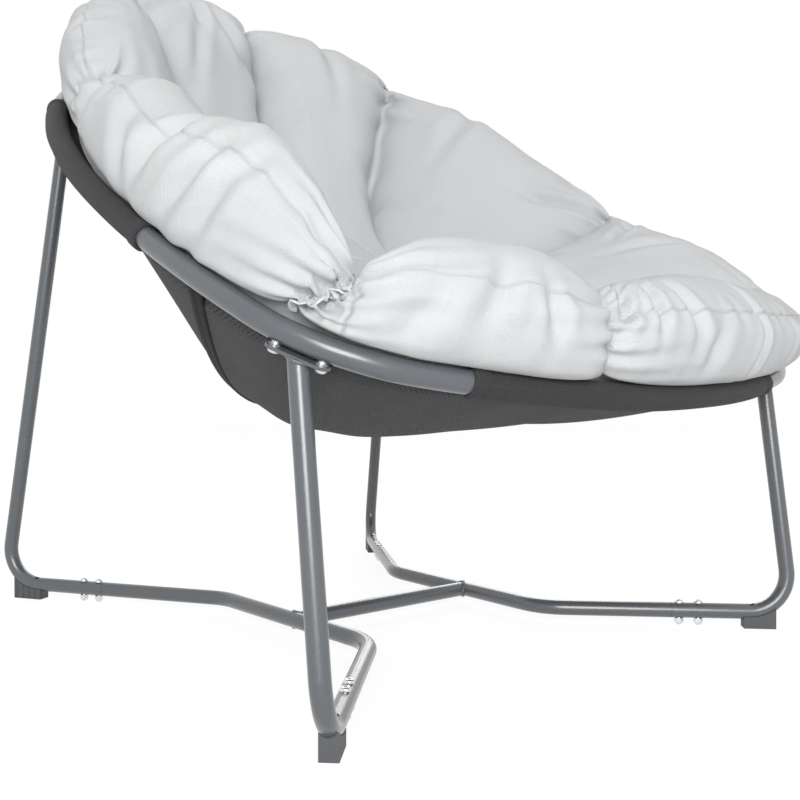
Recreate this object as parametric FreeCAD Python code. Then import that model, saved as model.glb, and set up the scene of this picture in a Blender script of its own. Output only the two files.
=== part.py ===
import FreeCAD, Part
import math
import os
from FreeCAD import Matrix, Placement, Rotation, Vector

# A patio saucer chair: a tilted tubular hoop carries a fabric sling and a tufted cushion, and stands
# on four bent legs that are bolted to an H-shaped floor frame.
# The front of the chair faces -Y, +X is to the sitter's left seen from the front, +Z is up. Millimetres.

# The hoop is a flat outline of eight tangent arcs on a sloping plane. In that plane x runs across,
# v runs up the slope from the line through the front legs, and n stands square to the plane.
hoop_diameter = 22.0
hoop_wall = 1.2
hoop_tilt = 28.5
hoop_line_y = -342.0
hoop_line_z = 338.0
hoop_half_width = 411.0
hoop_widest_v = 300.0
hoop_front_v = -93.0
hoop_rear_v = 880.0
hoop_front_radius = 900.0
hoop_front_corner_radius = 155.0
hoop_side_radius = 950.0
hoop_rear_corner_radius = 170.0
hoop_rear_radius = 420.0
front_leg_angle = -35.0
rear_leg_angle = 37.0

# Legs and floor frame.
leg_diameter = 19.0
leg_wall = 1.2
leg_bend_radius = 48.0
floor_tube_height = 20.0
front_corner_x = 360.0
front_corner_y = -367.0
rear_corner_x = 335.0
rear_corner_y = 464.0
front_seam_distance = 149.0
rear_seam_distance = 168.0
side_bend_radius = 75.0
front_bend_x = 139.0
front_bend_y = -145.0
rear_bend_x = 147.0
rear_bend_y = 160.0
crossbar_y = 3.0
spigot_length = 48.0
spigot_clearance = 0.15
seam_gap = 0.4

# Bolted joints between the legs and the floor frame.
bolt_diameter = 6.0
bolt_hole_clearance = 0.25
bolt_head_diameter = 10.5
bolt_head_height = 3.6
bolt_head_rounding = 2.2
hex_key_width = 4.0
hex_key_depth = 2.2
first_bolt_distance = 10.0
bolt_spacing = 24.0
nut_width = 10.0
nut_height = 5.0
nut_dome_height = 4.0
thread_clearance = 0.05
seat_gap = 0.1

# Plates that carry the hoop on the legs.
plate_length = 60.0
plate_width = 20.0
plate_thickness = 3.0
plate_screw_spacing = 43.0
insert_flange_diameter = 12.0
insert_flange_thickness = 1.5
insert_body_diameter = 8.5
insert_length = 9.0
washer_diameter = 13.0
washer_thickness = 1.2
screw_head_diameter = 11.0
screw_head_height = 3.4
screw_length = 13.0

# Feet.
foot_start = 21.0
foot_past_bend = 7.0
foot_width = 17.5
foot_cheek = 4.0
foot_screw_before_bend = 3.0
foot_screw_diameter = 4.0
foot_screw_depth = 6.0
foot_screw_head_diameter = 7.0
foot_screw_head_height = 2.4
access_hole_diameter = 9.0

# Fabric sling.
fabric_thickness = 1.6
fabric_clearance = 0.3
sling_depth = 190.0
plate_relief_gap = 0.5
front_sleeve_half_length = 232.0
rear_sleeve_half_length = 205.0
side_sleeve_start_v = 215.0
side_sleeve_end_v = 712.0

# Cushion.
cushion_centre_v = 345.0
cushion_clearance = 0.6
neck_scale = 0.96
neck_inset = 20.0
lobe_overhang = 12.0
crease_inset = 12.0
crease_notch = 14.0
dish_n = -49.0
dish_share = 0.12
dish_pad_radius = 72.0
dish_pad_drop = 1.0
dish_middle_share = 0.45
dish_middle_n = -27.0
crease_sink = 6.0
brim_inset = 4.5
brim_top_share = 0.74
brim_share = 0.42
rest_n = 17.0
lobe_rest_share = 0.97
lobe_base_share = 0.6
tie_tape_width = 12.0
tie_tape_thickness = 0.9
tie_loop_length = 30.0
tie_loop_height = 14.0
tie_distance = 46.0

hoop_radius = hoop_diameter / 2
leg_radius = leg_diameter / 2
leg_inner_radius = leg_radius - leg_wall
spigot_radius = leg_inner_radius - spigot_clearance
sleeve_inner_radius = hoop_radius + fabric_clearance
sleeve_outer_radius = sleeve_inner_radius + fabric_thickness
panel_seat_radius = sleeve_outer_radius + fabric_clearance
plate_top_n = -(hoop_radius + seat_gap + insert_flange_thickness)
plate_bottom_n = plate_top_n - plate_thickness
half_turn = 180
up = Vector(0, 0, 1)
shapes = {}

hoop_plane = Placement(Vector(0, hoop_line_y, hoop_line_z), Rotation(Vector(1, 0, 0), hoop_tilt))


def on_plane(x, v, n):
    """Point of the chair for a place on the hoop's plane."""
    return hoop_plane.multVec(Vector(x, v, n))


def unit(vector):
    """Copy of a vector with length one."""
    return vector * (1 / vector.Length)


def corner_centre(end_centre, end_radius, side_centre, radius, turn):
    """Centre of a corner arc inside both the end arc and the side arc."""
    near = hoop_side_radius - radius
    far = end_radius - radius
    along = end_centre - side_centre
    span = along.Length
    reach = (near ** 2 - far ** 2 + span ** 2) / (2 * span)
    offset = math.sqrt(near ** 2 - reach ** 2)
    direction = unit(along)
    square = Vector(-direction.y, direction.x, 0) * turn
    return side_centre + direction * reach + square * offset


side_centre = Vector(hoop_half_width - hoop_side_radius, hoop_widest_v, 0)
front_centre = Vector(0, hoop_front_v + hoop_front_radius, 0)
rear_centre = Vector(0, hoop_rear_v - hoop_rear_radius, 0)
front_corner = corner_centre(front_centre, hoop_front_radius, side_centre, hoop_front_corner_radius, -1)
rear_corner = corner_centre(rear_centre, hoop_rear_radius, side_centre, hoop_rear_corner_radius, 1)


def arc_between(centre, radius, start, end):
    """Arc about a centre from one angle to another, in degrees."""
    points = []
    for angle in (start, (start + end) / 2, end):
        turn = math.radians(angle)
        points.append(centre + Vector(math.cos(turn), math.sin(turn), 0) * radius)
    return Part.Arc(*points).toShape()


def bearing(centre, point):
    """Angle in degrees of a point seen from a centre."""
    return math.degrees(math.atan2(point.y - centre.y, point.x - centre.x))


front_join = bearing(front_centre, front_corner)
front_side_join = bearing(side_centre, front_corner)
rear_side_join = bearing(side_centre, rear_corner)
rear_join = bearing(rear_centre, rear_corner)


def mirrored(centre):
    """The same centre on the other side of the chair."""
    return Vector(-centre.x, centre.y, 0)


def hoop_outline():
    """The hoop's closed centre line in its own plane, from the front centre round the right side."""
    right = [(front_centre, hoop_front_radius, -90, front_join)]
    right.append((front_corner, hoop_front_corner_radius, front_join, front_side_join))
    right.append((side_centre, hoop_side_radius, front_side_join, rear_side_join))
    right.append((rear_corner, hoop_rear_corner_radius, rear_side_join, rear_join))
    right.append((rear_centre, hoop_rear_radius, rear_join, 90))
    edges = [arc_between(*arc) for arc in right]
    for centre, radius, start, end in reversed(right):
        edges.append(arc_between(mirrored(centre), radius, half_turn - end, half_turn - start))
    return Part.Wire(edges)


def circle_across(point, direction, radius):
    """Circle square to a path at one of its points."""
    return Part.Wire([Part.makeCircle(radius, point, direction)])


def swept(path, radius):
    """Round bar along a path of lines and arcs."""
    edge = path.OrderedEdges[0]
    start = edge.valueAt(edge.FirstParameter)
    along = edge.tangentAt(edge.FirstParameter)
    return path.makePipeShell([circle_across(start, along, radius)], True, False)


def hoop_bar(radius):
    """Closed round bar along the hoop's centre line, in the hoop's plane."""
    return swept(hoop_outline(), radius)


def leg_seat(side, rear):
    """Place of a leg on the hoop's centre line, and the line's direction there, in the hoop's plane."""
    centre = rear_corner if rear else front_corner
    radius = hoop_rear_corner_radius if rear else hoop_front_corner_radius
    turn = math.radians(rear_leg_angle if rear else front_leg_angle)
    point = centre + Vector(math.cos(turn), math.sin(turn), 0) * radius
    along = Vector(-math.sin(turn), math.cos(turn), 0)
    return Vector(side * point.x, point.y, 0), Vector(side * along.x, along.y, 0)


def bent_path(points, radius):
    """Path of straight runs joined by tangent arcs of one radius."""
    edges = []
    start = points[0]
    for before, corner, after in zip(points, points[1:], points[2:]):
        to_before = unit(before - corner)
        to_after = unit(after - corner)
        half = to_before.getAngle(to_after) / 2
        setback = radius / math.tan(half)
        first = corner + to_before * setback
        last = corner + to_after * setback
        middle = corner + unit(to_before + to_after) * (radius / math.sin(half) - radius)
        edges.append(Part.LineSegment(start, first).toShape())
        edges.append(Part.Arc(first, middle, last).toShape())
        start = last
    edges.append(Part.LineSegment(start, points[-1]).toShape())
    return Part.Wire(edges)


def floor_points(side, rear):
    """Virtual corner of a leg, the next bend of the floor frame and the direction between them."""
    corner_x = rear_corner_x if rear else front_corner_x
    corner_y = rear_corner_y if rear else front_corner_y
    bend_x = rear_bend_x if rear else front_bend_x
    bend_y = rear_bend_y if rear else front_bend_y
    corner = Vector(side * corner_x, corner_y, floor_tube_height)
    bend = Vector(side * bend_x, bend_y, floor_tube_height)
    return corner, bend, unit(bend - corner)


def bend_setback(side, rear):
    """Distance from a leg's virtual corner to where its bend ends on the floor run."""
    seat, _ = leg_seat(side, rear)
    corner, bend, inward = floor_points(side, rear)
    rise = unit(on_plane(seat.x, seat.y, plate_bottom_n) - corner)
    return leg_bend_radius / math.tan(rise.getAngle(inward) / 2)


def foot_screw_point(side, rear):
    """Place of a foot's screw on the leg's centre line."""
    corner, bend, inward = floor_points(side, rear)
    return corner + inward * (bend_setback(side, rear) - foot_screw_before_bend)


def seam_point(side, rear, extra=0.0):
    """Place on the floor run, counted from the leg's end."""
    corner, bend, inward = floor_points(side, rear)
    distance = rear_seam_distance if rear else front_seam_distance
    return corner + inward * (distance + extra)


def drill(shape, point, direction, diameter, length):
    """Shape with a round hole, starting at a point."""
    return shape.cut(Part.makeCylinder(diameter / 2, length, point, direction))


def bolt_points(side, rear):
    """Places of the two through bolts of a joint."""
    return [seam_point(side, rear, -first_bolt_distance - bolt_spacing * i) for i in range(2)]


def drilled_for_bolts(shape, side, rear):
    """Shape with the two vertical bolt holes of a joint."""
    hole = bolt_diameter + 2 * bolt_hole_clearance
    for point in bolt_points(side, rear):
        shape = drill(shape, point - up * leg_diameter, up, hole, 2 * leg_diameter)
    return shape


def leg(side, rear):
    """Bent leg tube, cut flush under its plate, drilled for the joint bolts and the foot screw."""
    seat, _ = leg_seat(side, rear)
    corner, bend, inward = floor_points(side, rear)
    top = on_plane(seat.x, seat.y, plate_bottom_n)
    beyond = top + unit(top - corner) * leg_diameter
    path = bent_path([seam_point(side, rear), corner, beyond], leg_bend_radius)
    body = swept(path, leg_radius).cut(swept(path, leg_inner_radius))
    lid_size = 6 * leg_diameter
    lid_corner = Vector(seat.x - lid_size / 2, seat.y - lid_size / 2, plate_bottom_n)
    lid = Part.makeBox(lid_size, lid_size, lid_size, lid_corner)
    lid.Placement = hoop_plane.multiply(lid.Placement)
    body = body.cut(lid)
    body = drilled_for_bolts(body, side, rear)
    screw = foot_screw_point(side, rear)
    body = drill(body, screw, up, access_hole_diameter, leg_diameter)
    return drill(body, screw, -up, foot_screw_diameter + bolt_hole_clearance, leg_diameter)


def leg_plate(side, rear):
    """Flat bar with rounded ends and two screw holes, lying along the hoop."""
    seat, along = leg_seat(side, rear)
    half = (plate_length - plate_width) / 2
    blank = Part.makeBox(2 * half, plate_width, plate_thickness, Vector(-half, -plate_width / 2, 0))
    for end in (-half, half):
        blank = blank.fuse(Part.makeCylinder(plate_width / 2, plate_thickness, Vector(end, 0, 0)))
    blank = blank.removeSplitter()
    hole = bolt_diameter + 2 * bolt_hole_clearance
    for end in (-plate_screw_spacing / 2, plate_screw_spacing / 2):
        blank = drill(blank, Vector(end, 0, -plate_thickness), up, hole, 3 * plate_thickness)
    blank.Placement = seat_placement(seat, along, plate_bottom_n)
    return blank


def seat_placement(seat, along, n):
    """Placement on the hoop's plane with its own x axis along the hoop."""
    turn = Rotation(Vector(1, 0, 0), along)
    return hoop_plane.multiply(Placement(Vector(seat.x, seat.y, n), turn))


def plate_screw_places(side, rear):
    """Placements of the two plate screws at the plate's underside."""
    seat, along = leg_seat(side, rear)
    offsets = (-plate_screw_spacing / 2, plate_screw_spacing / 2)
    return [seat_placement(seat + along * offset, along, plate_bottom_n) for offset in offsets]


def placed(shape, placement):
    """Copy of a shape at a placement."""
    copy = shape.copy()
    copy.Placement = placement.multiply(shape.Placement)
    return copy


def threaded_insert():
    """Rivet nut: flange under the hoop and a body inside it, bored for the screw."""
    flange_n = plate_thickness
    flange = Part.makeCylinder(insert_flange_diameter / 2, insert_flange_thickness, Vector(0, 0, flange_n))
    body = Part.makeCylinder(insert_body_diameter / 2, insert_length, Vector(0, 0, flange_n))
    bore = bolt_diameter + 2 * thread_clearance
    return drill(flange.fuse(body).removeSplitter(), Vector(0, 0, 0), up, bore, 3 * insert_length)


def washer():
    """Plain washer under the plate."""
    disc = Part.makeCylinder(washer_diameter / 2, washer_thickness, Vector(0, 0, -washer_thickness))
    hole = bolt_diameter + 2 * bolt_hole_clearance
    return drill(disc, Vector(0, 0, -2 * washer_thickness), up, hole, 4 * washer_thickness)


def plate_screw():
    """Pan-head screw that reaches up through washer, plate and insert."""
    head_bottom = -washer_thickness - screw_head_height
    head = Part.makeCylinder(screw_head_diameter / 2, screw_head_height, Vector(0, 0, head_bottom))
    rim = [edge for edge in head.Edges if edge.BoundBox.ZMax < head_bottom + screw_head_height / 2]
    head = head.makeFillet(screw_head_height / 2, [edge for edge in rim if edge.BoundBox.ZLength < seat_gap])
    socket = hex_prism(hex_key_width, hex_key_depth, head_bottom)
    shank = Part.makeCylinder(bolt_diameter / 2, screw_length, Vector(0, 0, -washer_thickness))
    return head.cut(socket).fuse(shank).removeSplitter()


def hex_prism(width, height, z):
    """Hexagonal prism of a width across its flats."""
    radius = width / math.sqrt(3)
    turns = [math.pi * i / 3 for i in range(7)]
    corners = [Vector(radius * math.cos(turn), radius * math.sin(turn), z) for turn in turns]
    return Part.Face(Part.makePolygon(corners)).extrude(Vector(0, 0, height))


def hoop():
    """Hoop tube, pierced from below for the eight threaded inserts."""
    body = hoop_bar(hoop_radius).cut(hoop_bar(hoop_radius - hoop_wall))
    body.Placement = hoop_plane
    for side in (-1, 1):
        for rear in (False, True):
            for place in plate_screw_places(side, rear):
                reach = plate_thickness + hoop_radius
                hole = Part.makeCylinder(insert_body_diameter / 2 + bolt_hole_clearance, reach)
                body = body.cut(placed(hole, place))
    return body


def base_side(side):
    """Bent side tube of the floor frame with a reduced spigot at each end, drilled for the bolts."""
    path = bent_path([seam_point(side, False, seam_gap), floor_points(side, False)[1],
                      floor_points(side, True)[1], seam_point(side, True, seam_gap)], side_bend_radius)
    body = swept(path, leg_radius).cut(swept(path, leg_inner_radius))
    for rear in (False, True):
        corner, bend, inward = floor_points(side, rear)
        start = seam_point(side, rear, seam_gap)
        neck_length = leg_diameter / 2
        outward = inward * -1
        neck = start + inward * neck_length
        spigot = Part.makeCylinder(spigot_radius, spigot_length + neck_length, neck, outward)
        root = Part.makeCylinder(leg_inner_radius, neck_length, neck, outward)
        spigot = spigot.fuse(root)
        bore_radius = spigot_radius - leg_wall
        spigot = drill(spigot, start + inward * 2 * neck_length, outward, 2 * bore_radius, 3 * spigot_length)
        body = body.fuse(spigot)
    body = body.removeSplitter()
    for rear in (False, True):
        body = drilled_for_bolts(body, side, rear)
    return body


def crossbar():
    """Middle tube of the floor frame, coped at both ends to the side tubes."""
    share = (crossbar_y - front_bend_y) / (rear_bend_y - front_bend_y)
    half = front_bend_x + (rear_bend_x - front_bend_x) * share
    start = Vector(-half, crossbar_y, floor_tube_height)
    body = Part.makeCylinder(leg_radius, 2 * half, start, Vector(1, 0, 0))
    body = body.cut(Part.makeCylinder(leg_inner_radius, 2 * half, start, Vector(1, 0, 0)))
    for side in (-1, 1):
        front = floor_points(side, False)[1]
        rear = floor_points(side, True)[1]
        body = body.cut(Part.makeCylinder(leg_radius, (rear - front).Length, front, unit(rear - front)))
    return body


def joint_bolts(side, rear):
    """Two button-head bolts, standing upright through a joint."""
    bolts = []
    for point in bolt_points(side, rear):
        top = leg_radius + seat_gap
        head = Part.makeCylinder(bolt_head_diameter / 2, bolt_head_height, point + up * top)
        rim = [edge for edge in head.Edges if edge.BoundBox.ZMin > point.z + top + bolt_head_height / 2]
        head = head.makeFillet(bolt_head_rounding, rim)
        socket = hex_prism(hex_key_width, hex_key_depth, top + bolt_head_height - hex_key_depth)
        socket.translate(point)
        length = top + leg_radius + nut_height
        shank = Part.makeCylinder(bolt_diameter / 2, length, point + up * (top - length))
        bolts.append(head.cut(socket).fuse(shank).removeSplitter())
    return Part.makeCompound(bolts)


def joint_nuts(side, rear):
    """Two domed cap nuts under a joint."""
    nuts = []
    for point in bolt_points(side, rear):
        top = -leg_radius - seat_gap
        nut = hex_prism(nut_width, nut_height, top - nut_height)
        ball_radius = (nut_width ** 2 / 4 + nut_dome_height ** 2) / (2 * nut_dome_height)
        tip = Vector(0, 0, top - nut_height - nut_dome_height)
        ball = Part.makeSphere(ball_radius, tip + up * ball_radius)
        cap = Part.makeCylinder(nut_width / 2, nut_dome_height, tip)
        nut = nut.fuse(ball.common(cap)).removeSplitter()
        bore = bolt_diameter + 2 * thread_clearance
        nut = drill(nut, Vector(0, 0, top - nut_height - seat_gap), up, bore, 2 * nut_height)
        nut.translate(point)
        nuts.append(nut)
    return Part.makeCompound(nuts)


def foot(side, rear):
    """Wedge foot whose saddle follows the underside of the leg's bend."""
    seat, _ = leg_seat(side, rear)
    corner, bend, inward = floor_points(side, rear)
    setback = bend_setback(side, rear)
    foot_end = setback + foot_past_bend
    centre_z = floor_tube_height + leg_bend_radius
    reach = leg_bend_radius + leg_radius - foot_cheek
    outer_z = centre_z - math.sqrt(reach ** 2 - (setback - foot_start) ** 2)
    inner_z = centre_z - math.sqrt(reach ** 2 - (setback - foot_end) ** 2)
    middle_s = (foot_start + foot_end) / 2
    middle_z = centre_z - math.sqrt(reach ** 2 - (setback - middle_s) ** 2)
    floor_corner = Vector(corner.x, corner.y, 0)

    def at(s, z):
        return floor_corner + inward * s + up * z

    edges = [Part.LineSegment(at(foot_start, 0), at(foot_end, 0)).toShape()]
    edges.append(Part.LineSegment(at(foot_end, 0), at(foot_end, inner_z)).toShape())
    edges.append(Part.Arc(at(foot_end, inner_z), at(middle_s, middle_z), at(foot_start, outer_z)).toShape())
    edges.append(Part.LineSegment(at(foot_start, outer_z), at(foot_start, 0)).toShape())
    across = inward.cross(up)
    block = Part.Face(Part.Wire(edges))
    block.translate(across * (-foot_width / 2))
    block = block.extrude(across * foot_width)
    top = on_plane(seat.x, seat.y, plate_bottom_n)
    path = bent_path([seam_point(side, rear), corner, top], leg_bend_radius)
    block = block.cut(swept(path, leg_radius + seat_gap))
    hole_start = foot_screw_point(side, rear)
    depth = leg_radius + foot_screw_depth + seat_gap
    return drill(block, hole_start, -up, foot_screw_diameter + 2 * thread_clearance, depth)


def foot_screw(side, rear):
    """Screw that holds a foot from inside the leg tube."""
    point = foot_screw_point(side, rear)
    head_z = -leg_inner_radius + seat_gap
    head_seat = leg_inner_radius - math.sqrt(leg_inner_radius ** 2 - foot_screw_head_diameter ** 2 / 4)
    head_bottom = point + up * (head_z + head_seat)
    head = Part.makeCylinder(foot_screw_head_diameter / 2, foot_screw_head_height, head_bottom)
    length = head_seat + leg_wall + foot_screw_depth
    shank = Part.makeCylinder(foot_screw_diameter / 2, length, point + up * (head_z + head_seat - length))
    return head.fuse(shank).removeSplitter()


def scaled_outline(scale, front_inset, n):
    """The hoop's outline at a smaller scale, moved up the slope and down to a depth."""
    outline = hoop_outline()
    shrink = Matrix()
    shrink.scale(scale, scale, scale)
    outline = outline.transformShape(shrink)
    outline.translate(Vector(0, hoop_front_v * (1 - scale) + front_inset, n))
    return outline


# The sling's depth grows from the hoop to its middle: scale of the outline, how far its front end lies
# behind the hoop's, and depth as a share of the sling's full depth.
sling_sections = ((1.0, 0.0, 0.0), (0.92, 42.0, 0.27), (0.83, 98.0, 0.53), (0.71, 168.0, 0.78),
                  (0.52, 268.0, 0.94), (0.28, 372.0, 1.0))


def bowl(rise):
    """Solid bowl inside the hoop, raised by a distance square to the hoop's plane."""
    wires = []
    for scale, inset, share in sling_sections:
        wires.append(scaled_outline(scale, inset, rise - sling_depth * share))
    return Part.makeLoft(wires, True, False)


def plate_relief(side, rear):
    """Room for a leg's plate and its screw heads beside the hoop, in the hoop's plane."""
    seat, along = leg_seat(side, rear)
    length = plate_length + 2 * plate_relief_gap
    width = plate_width + 2 * plate_relief_gap
    height = hoop_radius + plate_thickness + insert_flange_thickness
    height = height + washer_thickness + screw_head_height
    block = Part.makeBox(length, width, height, Vector(-length / 2, -width / 2, -height - plate_relief_gap))
    block.Placement = Placement(seat, Rotation(Vector(1, 0, 0), along))
    return block


def sling_panel():
    """Stretched fabric bowl that hangs inside the hoop's sleeves."""
    shell = bowl(0).cut(bowl(fabric_thickness))
    shell = shell.cut(hoop_bar(panel_seat_radius))
    for side in (-1, 1):
        for rear in (False, True):
            shell = shell.cut(plate_relief(side, rear))
    below = Part.makeBox(4 * hoop_half_width, 4 * hoop_half_width, 2 * sling_depth,
                         Vector(-2 * hoop_half_width, -hoop_half_width, -2 * sling_depth))
    shell = shell.common(below)
    solids = sorted(shell.Solids, key=lambda solid: -solid.Volume)
    return placed(solids[0], hoop_plane)


def arc_part(centre, radius, start, end):
    """Path of one arc of the hoop's centre line."""
    return Part.Wire([arc_between(centre, radius, start, end)])


def sleeve(paths):
    """Fabric tunnel round a stretch of the hoop."""
    body = None
    for path in paths:
        piece = swept(path, sleeve_outer_radius).cut(swept(path, sleeve_inner_radius))
        body = piece if body is None else body.fuse(piece)
    return placed(body.removeSplitter(), hoop_plane)


def front_sleeve():
    """Sleeve over the hoop's front."""
    half = math.degrees(math.asin(front_sleeve_half_length / hoop_front_radius))
    return sleeve([arc_part(front_centre, hoop_front_radius, -90 - half, -90 + half)])


def rear_sleeve():
    """Sleeve over the hoop's rear."""
    half = math.degrees(math.asin(rear_sleeve_half_length / hoop_rear_radius))
    return sleeve([arc_part(rear_centre, hoop_rear_radius, 90 - half, 90 + half)])


def side_sleeve(side):
    """Sleeve over one side of the hoop."""
    start = math.degrees(math.asin((side_sleeve_start_v - hoop_widest_v) / hoop_side_radius))
    end = math.degrees(math.asin((side_sleeve_end_v - hoop_widest_v) / hoop_side_radius))
    if side > 0:
        return sleeve([arc_part(side_centre, hoop_side_radius, start, end)])
    return sleeve([arc_part(mirrored(side_centre), hoop_side_radius, 180 - end, 180 - start)])


# Radial creases between the cushion's stuffed lobes, as bearings in degrees round its middle.
crease_bearings = (1, 61, 91, 120, 152, 225, 256, 320)

# Height of the cushion's crest above the hoop's plane, by bearing.
crest_heights = ((0, 72.0), (19, 88.0), (41, 113.0), (55, 122.0), (75, 142.0), (88, 146.0), (106, 161.0),
                 (118, 156.0), (130, 148.0), (145, 124.0), (156, 102.0), (171, 108.0), (182, 119.0),
                 (193, 108.0), (208, 132.0), (219, 118.0), (226, 88.0), (234, 102.0), (252, 102.0),
                 (265, 105.0), (280, 106.0), (305, 90.0), (320, 80.0), (334, 84.0), (350, 74.0), (360, 72.0))

# Inner side of a lobe's section: places from the middle to the hoop as shares, heights as shares of the
# crest's, and how much further out they lie in a crease.
inner_corners = ((0.68, 0.44, 0.03), (0.85, 0.98, 0.02))
inner_middles = ((0.77, 0.80, 0.03), (0.925, 0.98, 0.0))

# Bearings of a lobe's sections, from crease to crease, as places from -1 to 1 across the lobe.
section_places = (-1.0, -0.85, -0.45, 0.0, 0.45, 0.85, 1.0)


def outline_reach(angle):
    """Distance from the cushion's middle to the hoop's centre line along a bearing."""
    middle = Vector(0, cushion_centre_v, 0)
    turn = math.radians(angle)
    far = middle + Vector(math.cos(turn), math.sin(turn), 0) * 2 * hoop_rear_v
    ray = Part.LineSegment(middle, far).toShape()
    return hoop_outline().distToShape(ray)[1][0][0].sub(middle).Length


def crest_height(angle):
    """Height of the crest at a bearing, on the line between the listed ones."""
    angle = angle % 360
    for (start, low), (end, high) in zip(crest_heights, crest_heights[1:]):
        if start <= angle <= end:
            return low + (high - low) * (angle - start) / (end - start)
    return crest_heights[0][1]


def lobe_section(angle, fullness):
    """Profile of a lobe in an upright plane through the cushion's middle. Fullness is 0 in a crease."""
    reach = outline_reach(angle)
    crest = crest_height(angle) - crease_notch * (1 - fullness)
    brim = reach + lobe_overhang * fullness - crease_inset * (1 - fullness)
    turn = math.radians(angle)

    def at(distance, n):
        return Vector(math.cos(turn) * distance, cushion_centre_v + math.sin(turn) * distance, n)

    below = -sling_depth - fabric_thickness
    slump = 1 - fullness
    corners = [at(dish_share * reach, dish_n)]
    middles = []
    for place, height, spread in inner_corners:
        corners.append(at((place + spread * slump) * reach, height * crest))
    for place, height, spread in inner_middles:
        middles.append(at((place + spread * slump) * reach, height * crest))
    middles.insert(0, at(dish_middle_share * reach, dish_middle_n - crease_sink * slump))
    corners.append(at(brim - brim_inset, brim_top_share * crest))
    corners.append(at(brim - hoop_radius, rest_n))
    middles.append(at(brim, brim_share * crest))
    edges = []
    for start, middle, end in zip(corners, middles, corners[1:]):
        edges.append(Part.Arc(start, middle, end).toShape())
    under = [corners[-1], at(lobe_rest_share * reach, 0), at(lobe_base_share * reach, below)]
    under += [at(dish_share * reach, below), corners[0]]
    edges += [Part.LineSegment(start, end).toShape() for start, end in zip(under, under[1:])]
    return Part.Wire(edges)


def lobe(start, end):
    """One stuffed lobe between two creases, lofted through its sections."""
    sections = []
    for place in section_places:
        fullness = math.sqrt(1 - abs(place) ** 3)
        sections.append(lobe_section((start + end) / 2 + (end - start) / 2 * place, fullness))
    return Part.makeLoft(sections, True, False)


def cushion_space():
    """Room above the sling and the hoop that the cushion may fill."""
    inside = bowl(fabric_thickness + cushion_clearance)
    size = 3 * hoop_half_width
    floor_n = sleeve_outer_radius + cushion_clearance
    above = Part.makeBox(2 * size, 2 * size, size, Vector(-size, -size, floor_n))
    neck = scaled_outline(neck_scale, neck_inset, fabric_thickness)
    neck = Part.Face(neck).extrude(Vector(0, 0, floor_n))
    return inside.fuse(neck).fuse(above)


def cushion():
    """Tufted cushion: stuffed lobes round a sunken middle, resting in the sling and on the hoop."""
    below = -sling_depth - fabric_thickness
    middle = Vector(0, cushion_centre_v, below)
    body = Part.makeCylinder(dish_pad_radius, dish_n - dish_pad_drop - below, middle)
    for start, end in zip(crease_bearings, crease_bearings[1:] + (crease_bearings[0] + 360,)):
        body = body.fuse(lobe(start, end))
    body = body.common(cushion_space())
    body = body.cut(hoop_bar(sleeve_outer_radius + cushion_clearance))
    solids = sorted(body.Solids, key=lambda solid: -solid.Volume)
    return placed(solids[0], hoop_plane)


def cushion_tie(side):
    """Fabric tape tied round the hoop beside a rear leg, with the bow's loop standing outwards."""
    angle = rear_leg_angle + math.degrees(tie_distance / hoop_rear_corner_radius)
    half = math.degrees(tie_tape_width / 2 / hoop_rear_corner_radius)
    centre = rear_corner
    if side < 0:
        centre = mirrored(rear_corner)
        angle = 180 - angle
    path = arc_part(centre, hoop_rear_corner_radius, angle - half, angle + half)
    band_radius = sleeve_inner_radius + tie_tape_thickness
    band = swept(path, band_radius).cut(swept(path, sleeve_inner_radius))
    loop = flat_ring(tie_loop_height / 2).cut(flat_ring(tie_loop_height / 2 - tie_tape_thickness))
    turn = math.radians(angle)
    outward = Vector(math.cos(turn), math.sin(turn), 0)
    point = centre + outward * (hoop_rear_corner_radius + band_radius - tie_tape_thickness / 2)
    loop.Placement = Placement(point, Rotation(Vector(0, 0, 1), angle))
    return placed(band.fuse(loop).removeSplitter(), hoop_plane)


def flat_ring(radius):
    """Bar with round ends that stands out along x, as wide as the tape."""
    run = tie_loop_length - tie_loop_height
    start = Vector(tie_loop_height / 2, -tie_tape_width / 2, 0)
    bar = Part.makeBox(run, tie_tape_width, 2 * radius, start - up * radius)
    for end in (start, start + Vector(run, 0, 0)):
        bar = bar.fuse(Part.makeCylinder(radius, tie_tape_width, end, Vector(0, 1, 0)))
    return bar


def name_of(side, rear):
    """Words for one corner of the chair."""
    return ("rear" if rear else "front") + ("_right" if side > 0 else "_left")


def group(make):
    """One compound of a small piece repeated at all four corners."""
    return Part.makeCompound([make(side, rear) for side in (-1, 1) for rear in (False, True)])


def at_plate_screws(piece):
    """One compound of a small piece repeated at all eight plate screws."""
    copies = []
    for side in (-1, 1):
        for rear in (False, True):
            copies += [placed(piece, place) for place in plate_screw_places(side, rear)]
    return Part.makeCompound(copies)


shapes["hoop"] = hoop()
shapes["threaded_inserts"] = at_plate_screws(threaded_insert())
shapes["plate_washers"] = at_plate_screws(washer())
shapes["base_crossbar"] = crossbar()
shapes["foot_screws"] = group(foot_screw)
for side in (-1, 1):
    shapes["base_side_" + ("right" if side > 0 else "left")] = base_side(side)
    shapes["sling_sleeve_" + ("right" if side > 0 else "left")] = side_sleeve(side)
    for rear in (False, True):
        corner_name = name_of(side, rear)
        shapes["leg_" + corner_name] = leg(side, rear)
        shapes["leg_plate_" + corner_name] = leg_plate(side, rear)
        places = plate_screw_places(side, rear)
        screws = [placed(plate_screw(), place) for place in places]
        shapes["plate_screws_" + corner_name] = Part.makeCompound(screws)
        shapes["joint_bolts_" + corner_name] = joint_bolts(side, rear)
        shapes["joint_nuts_" + corner_name] = joint_nuts(side, rear)
        shapes["foot_" + corner_name] = foot(side, rear)
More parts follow.
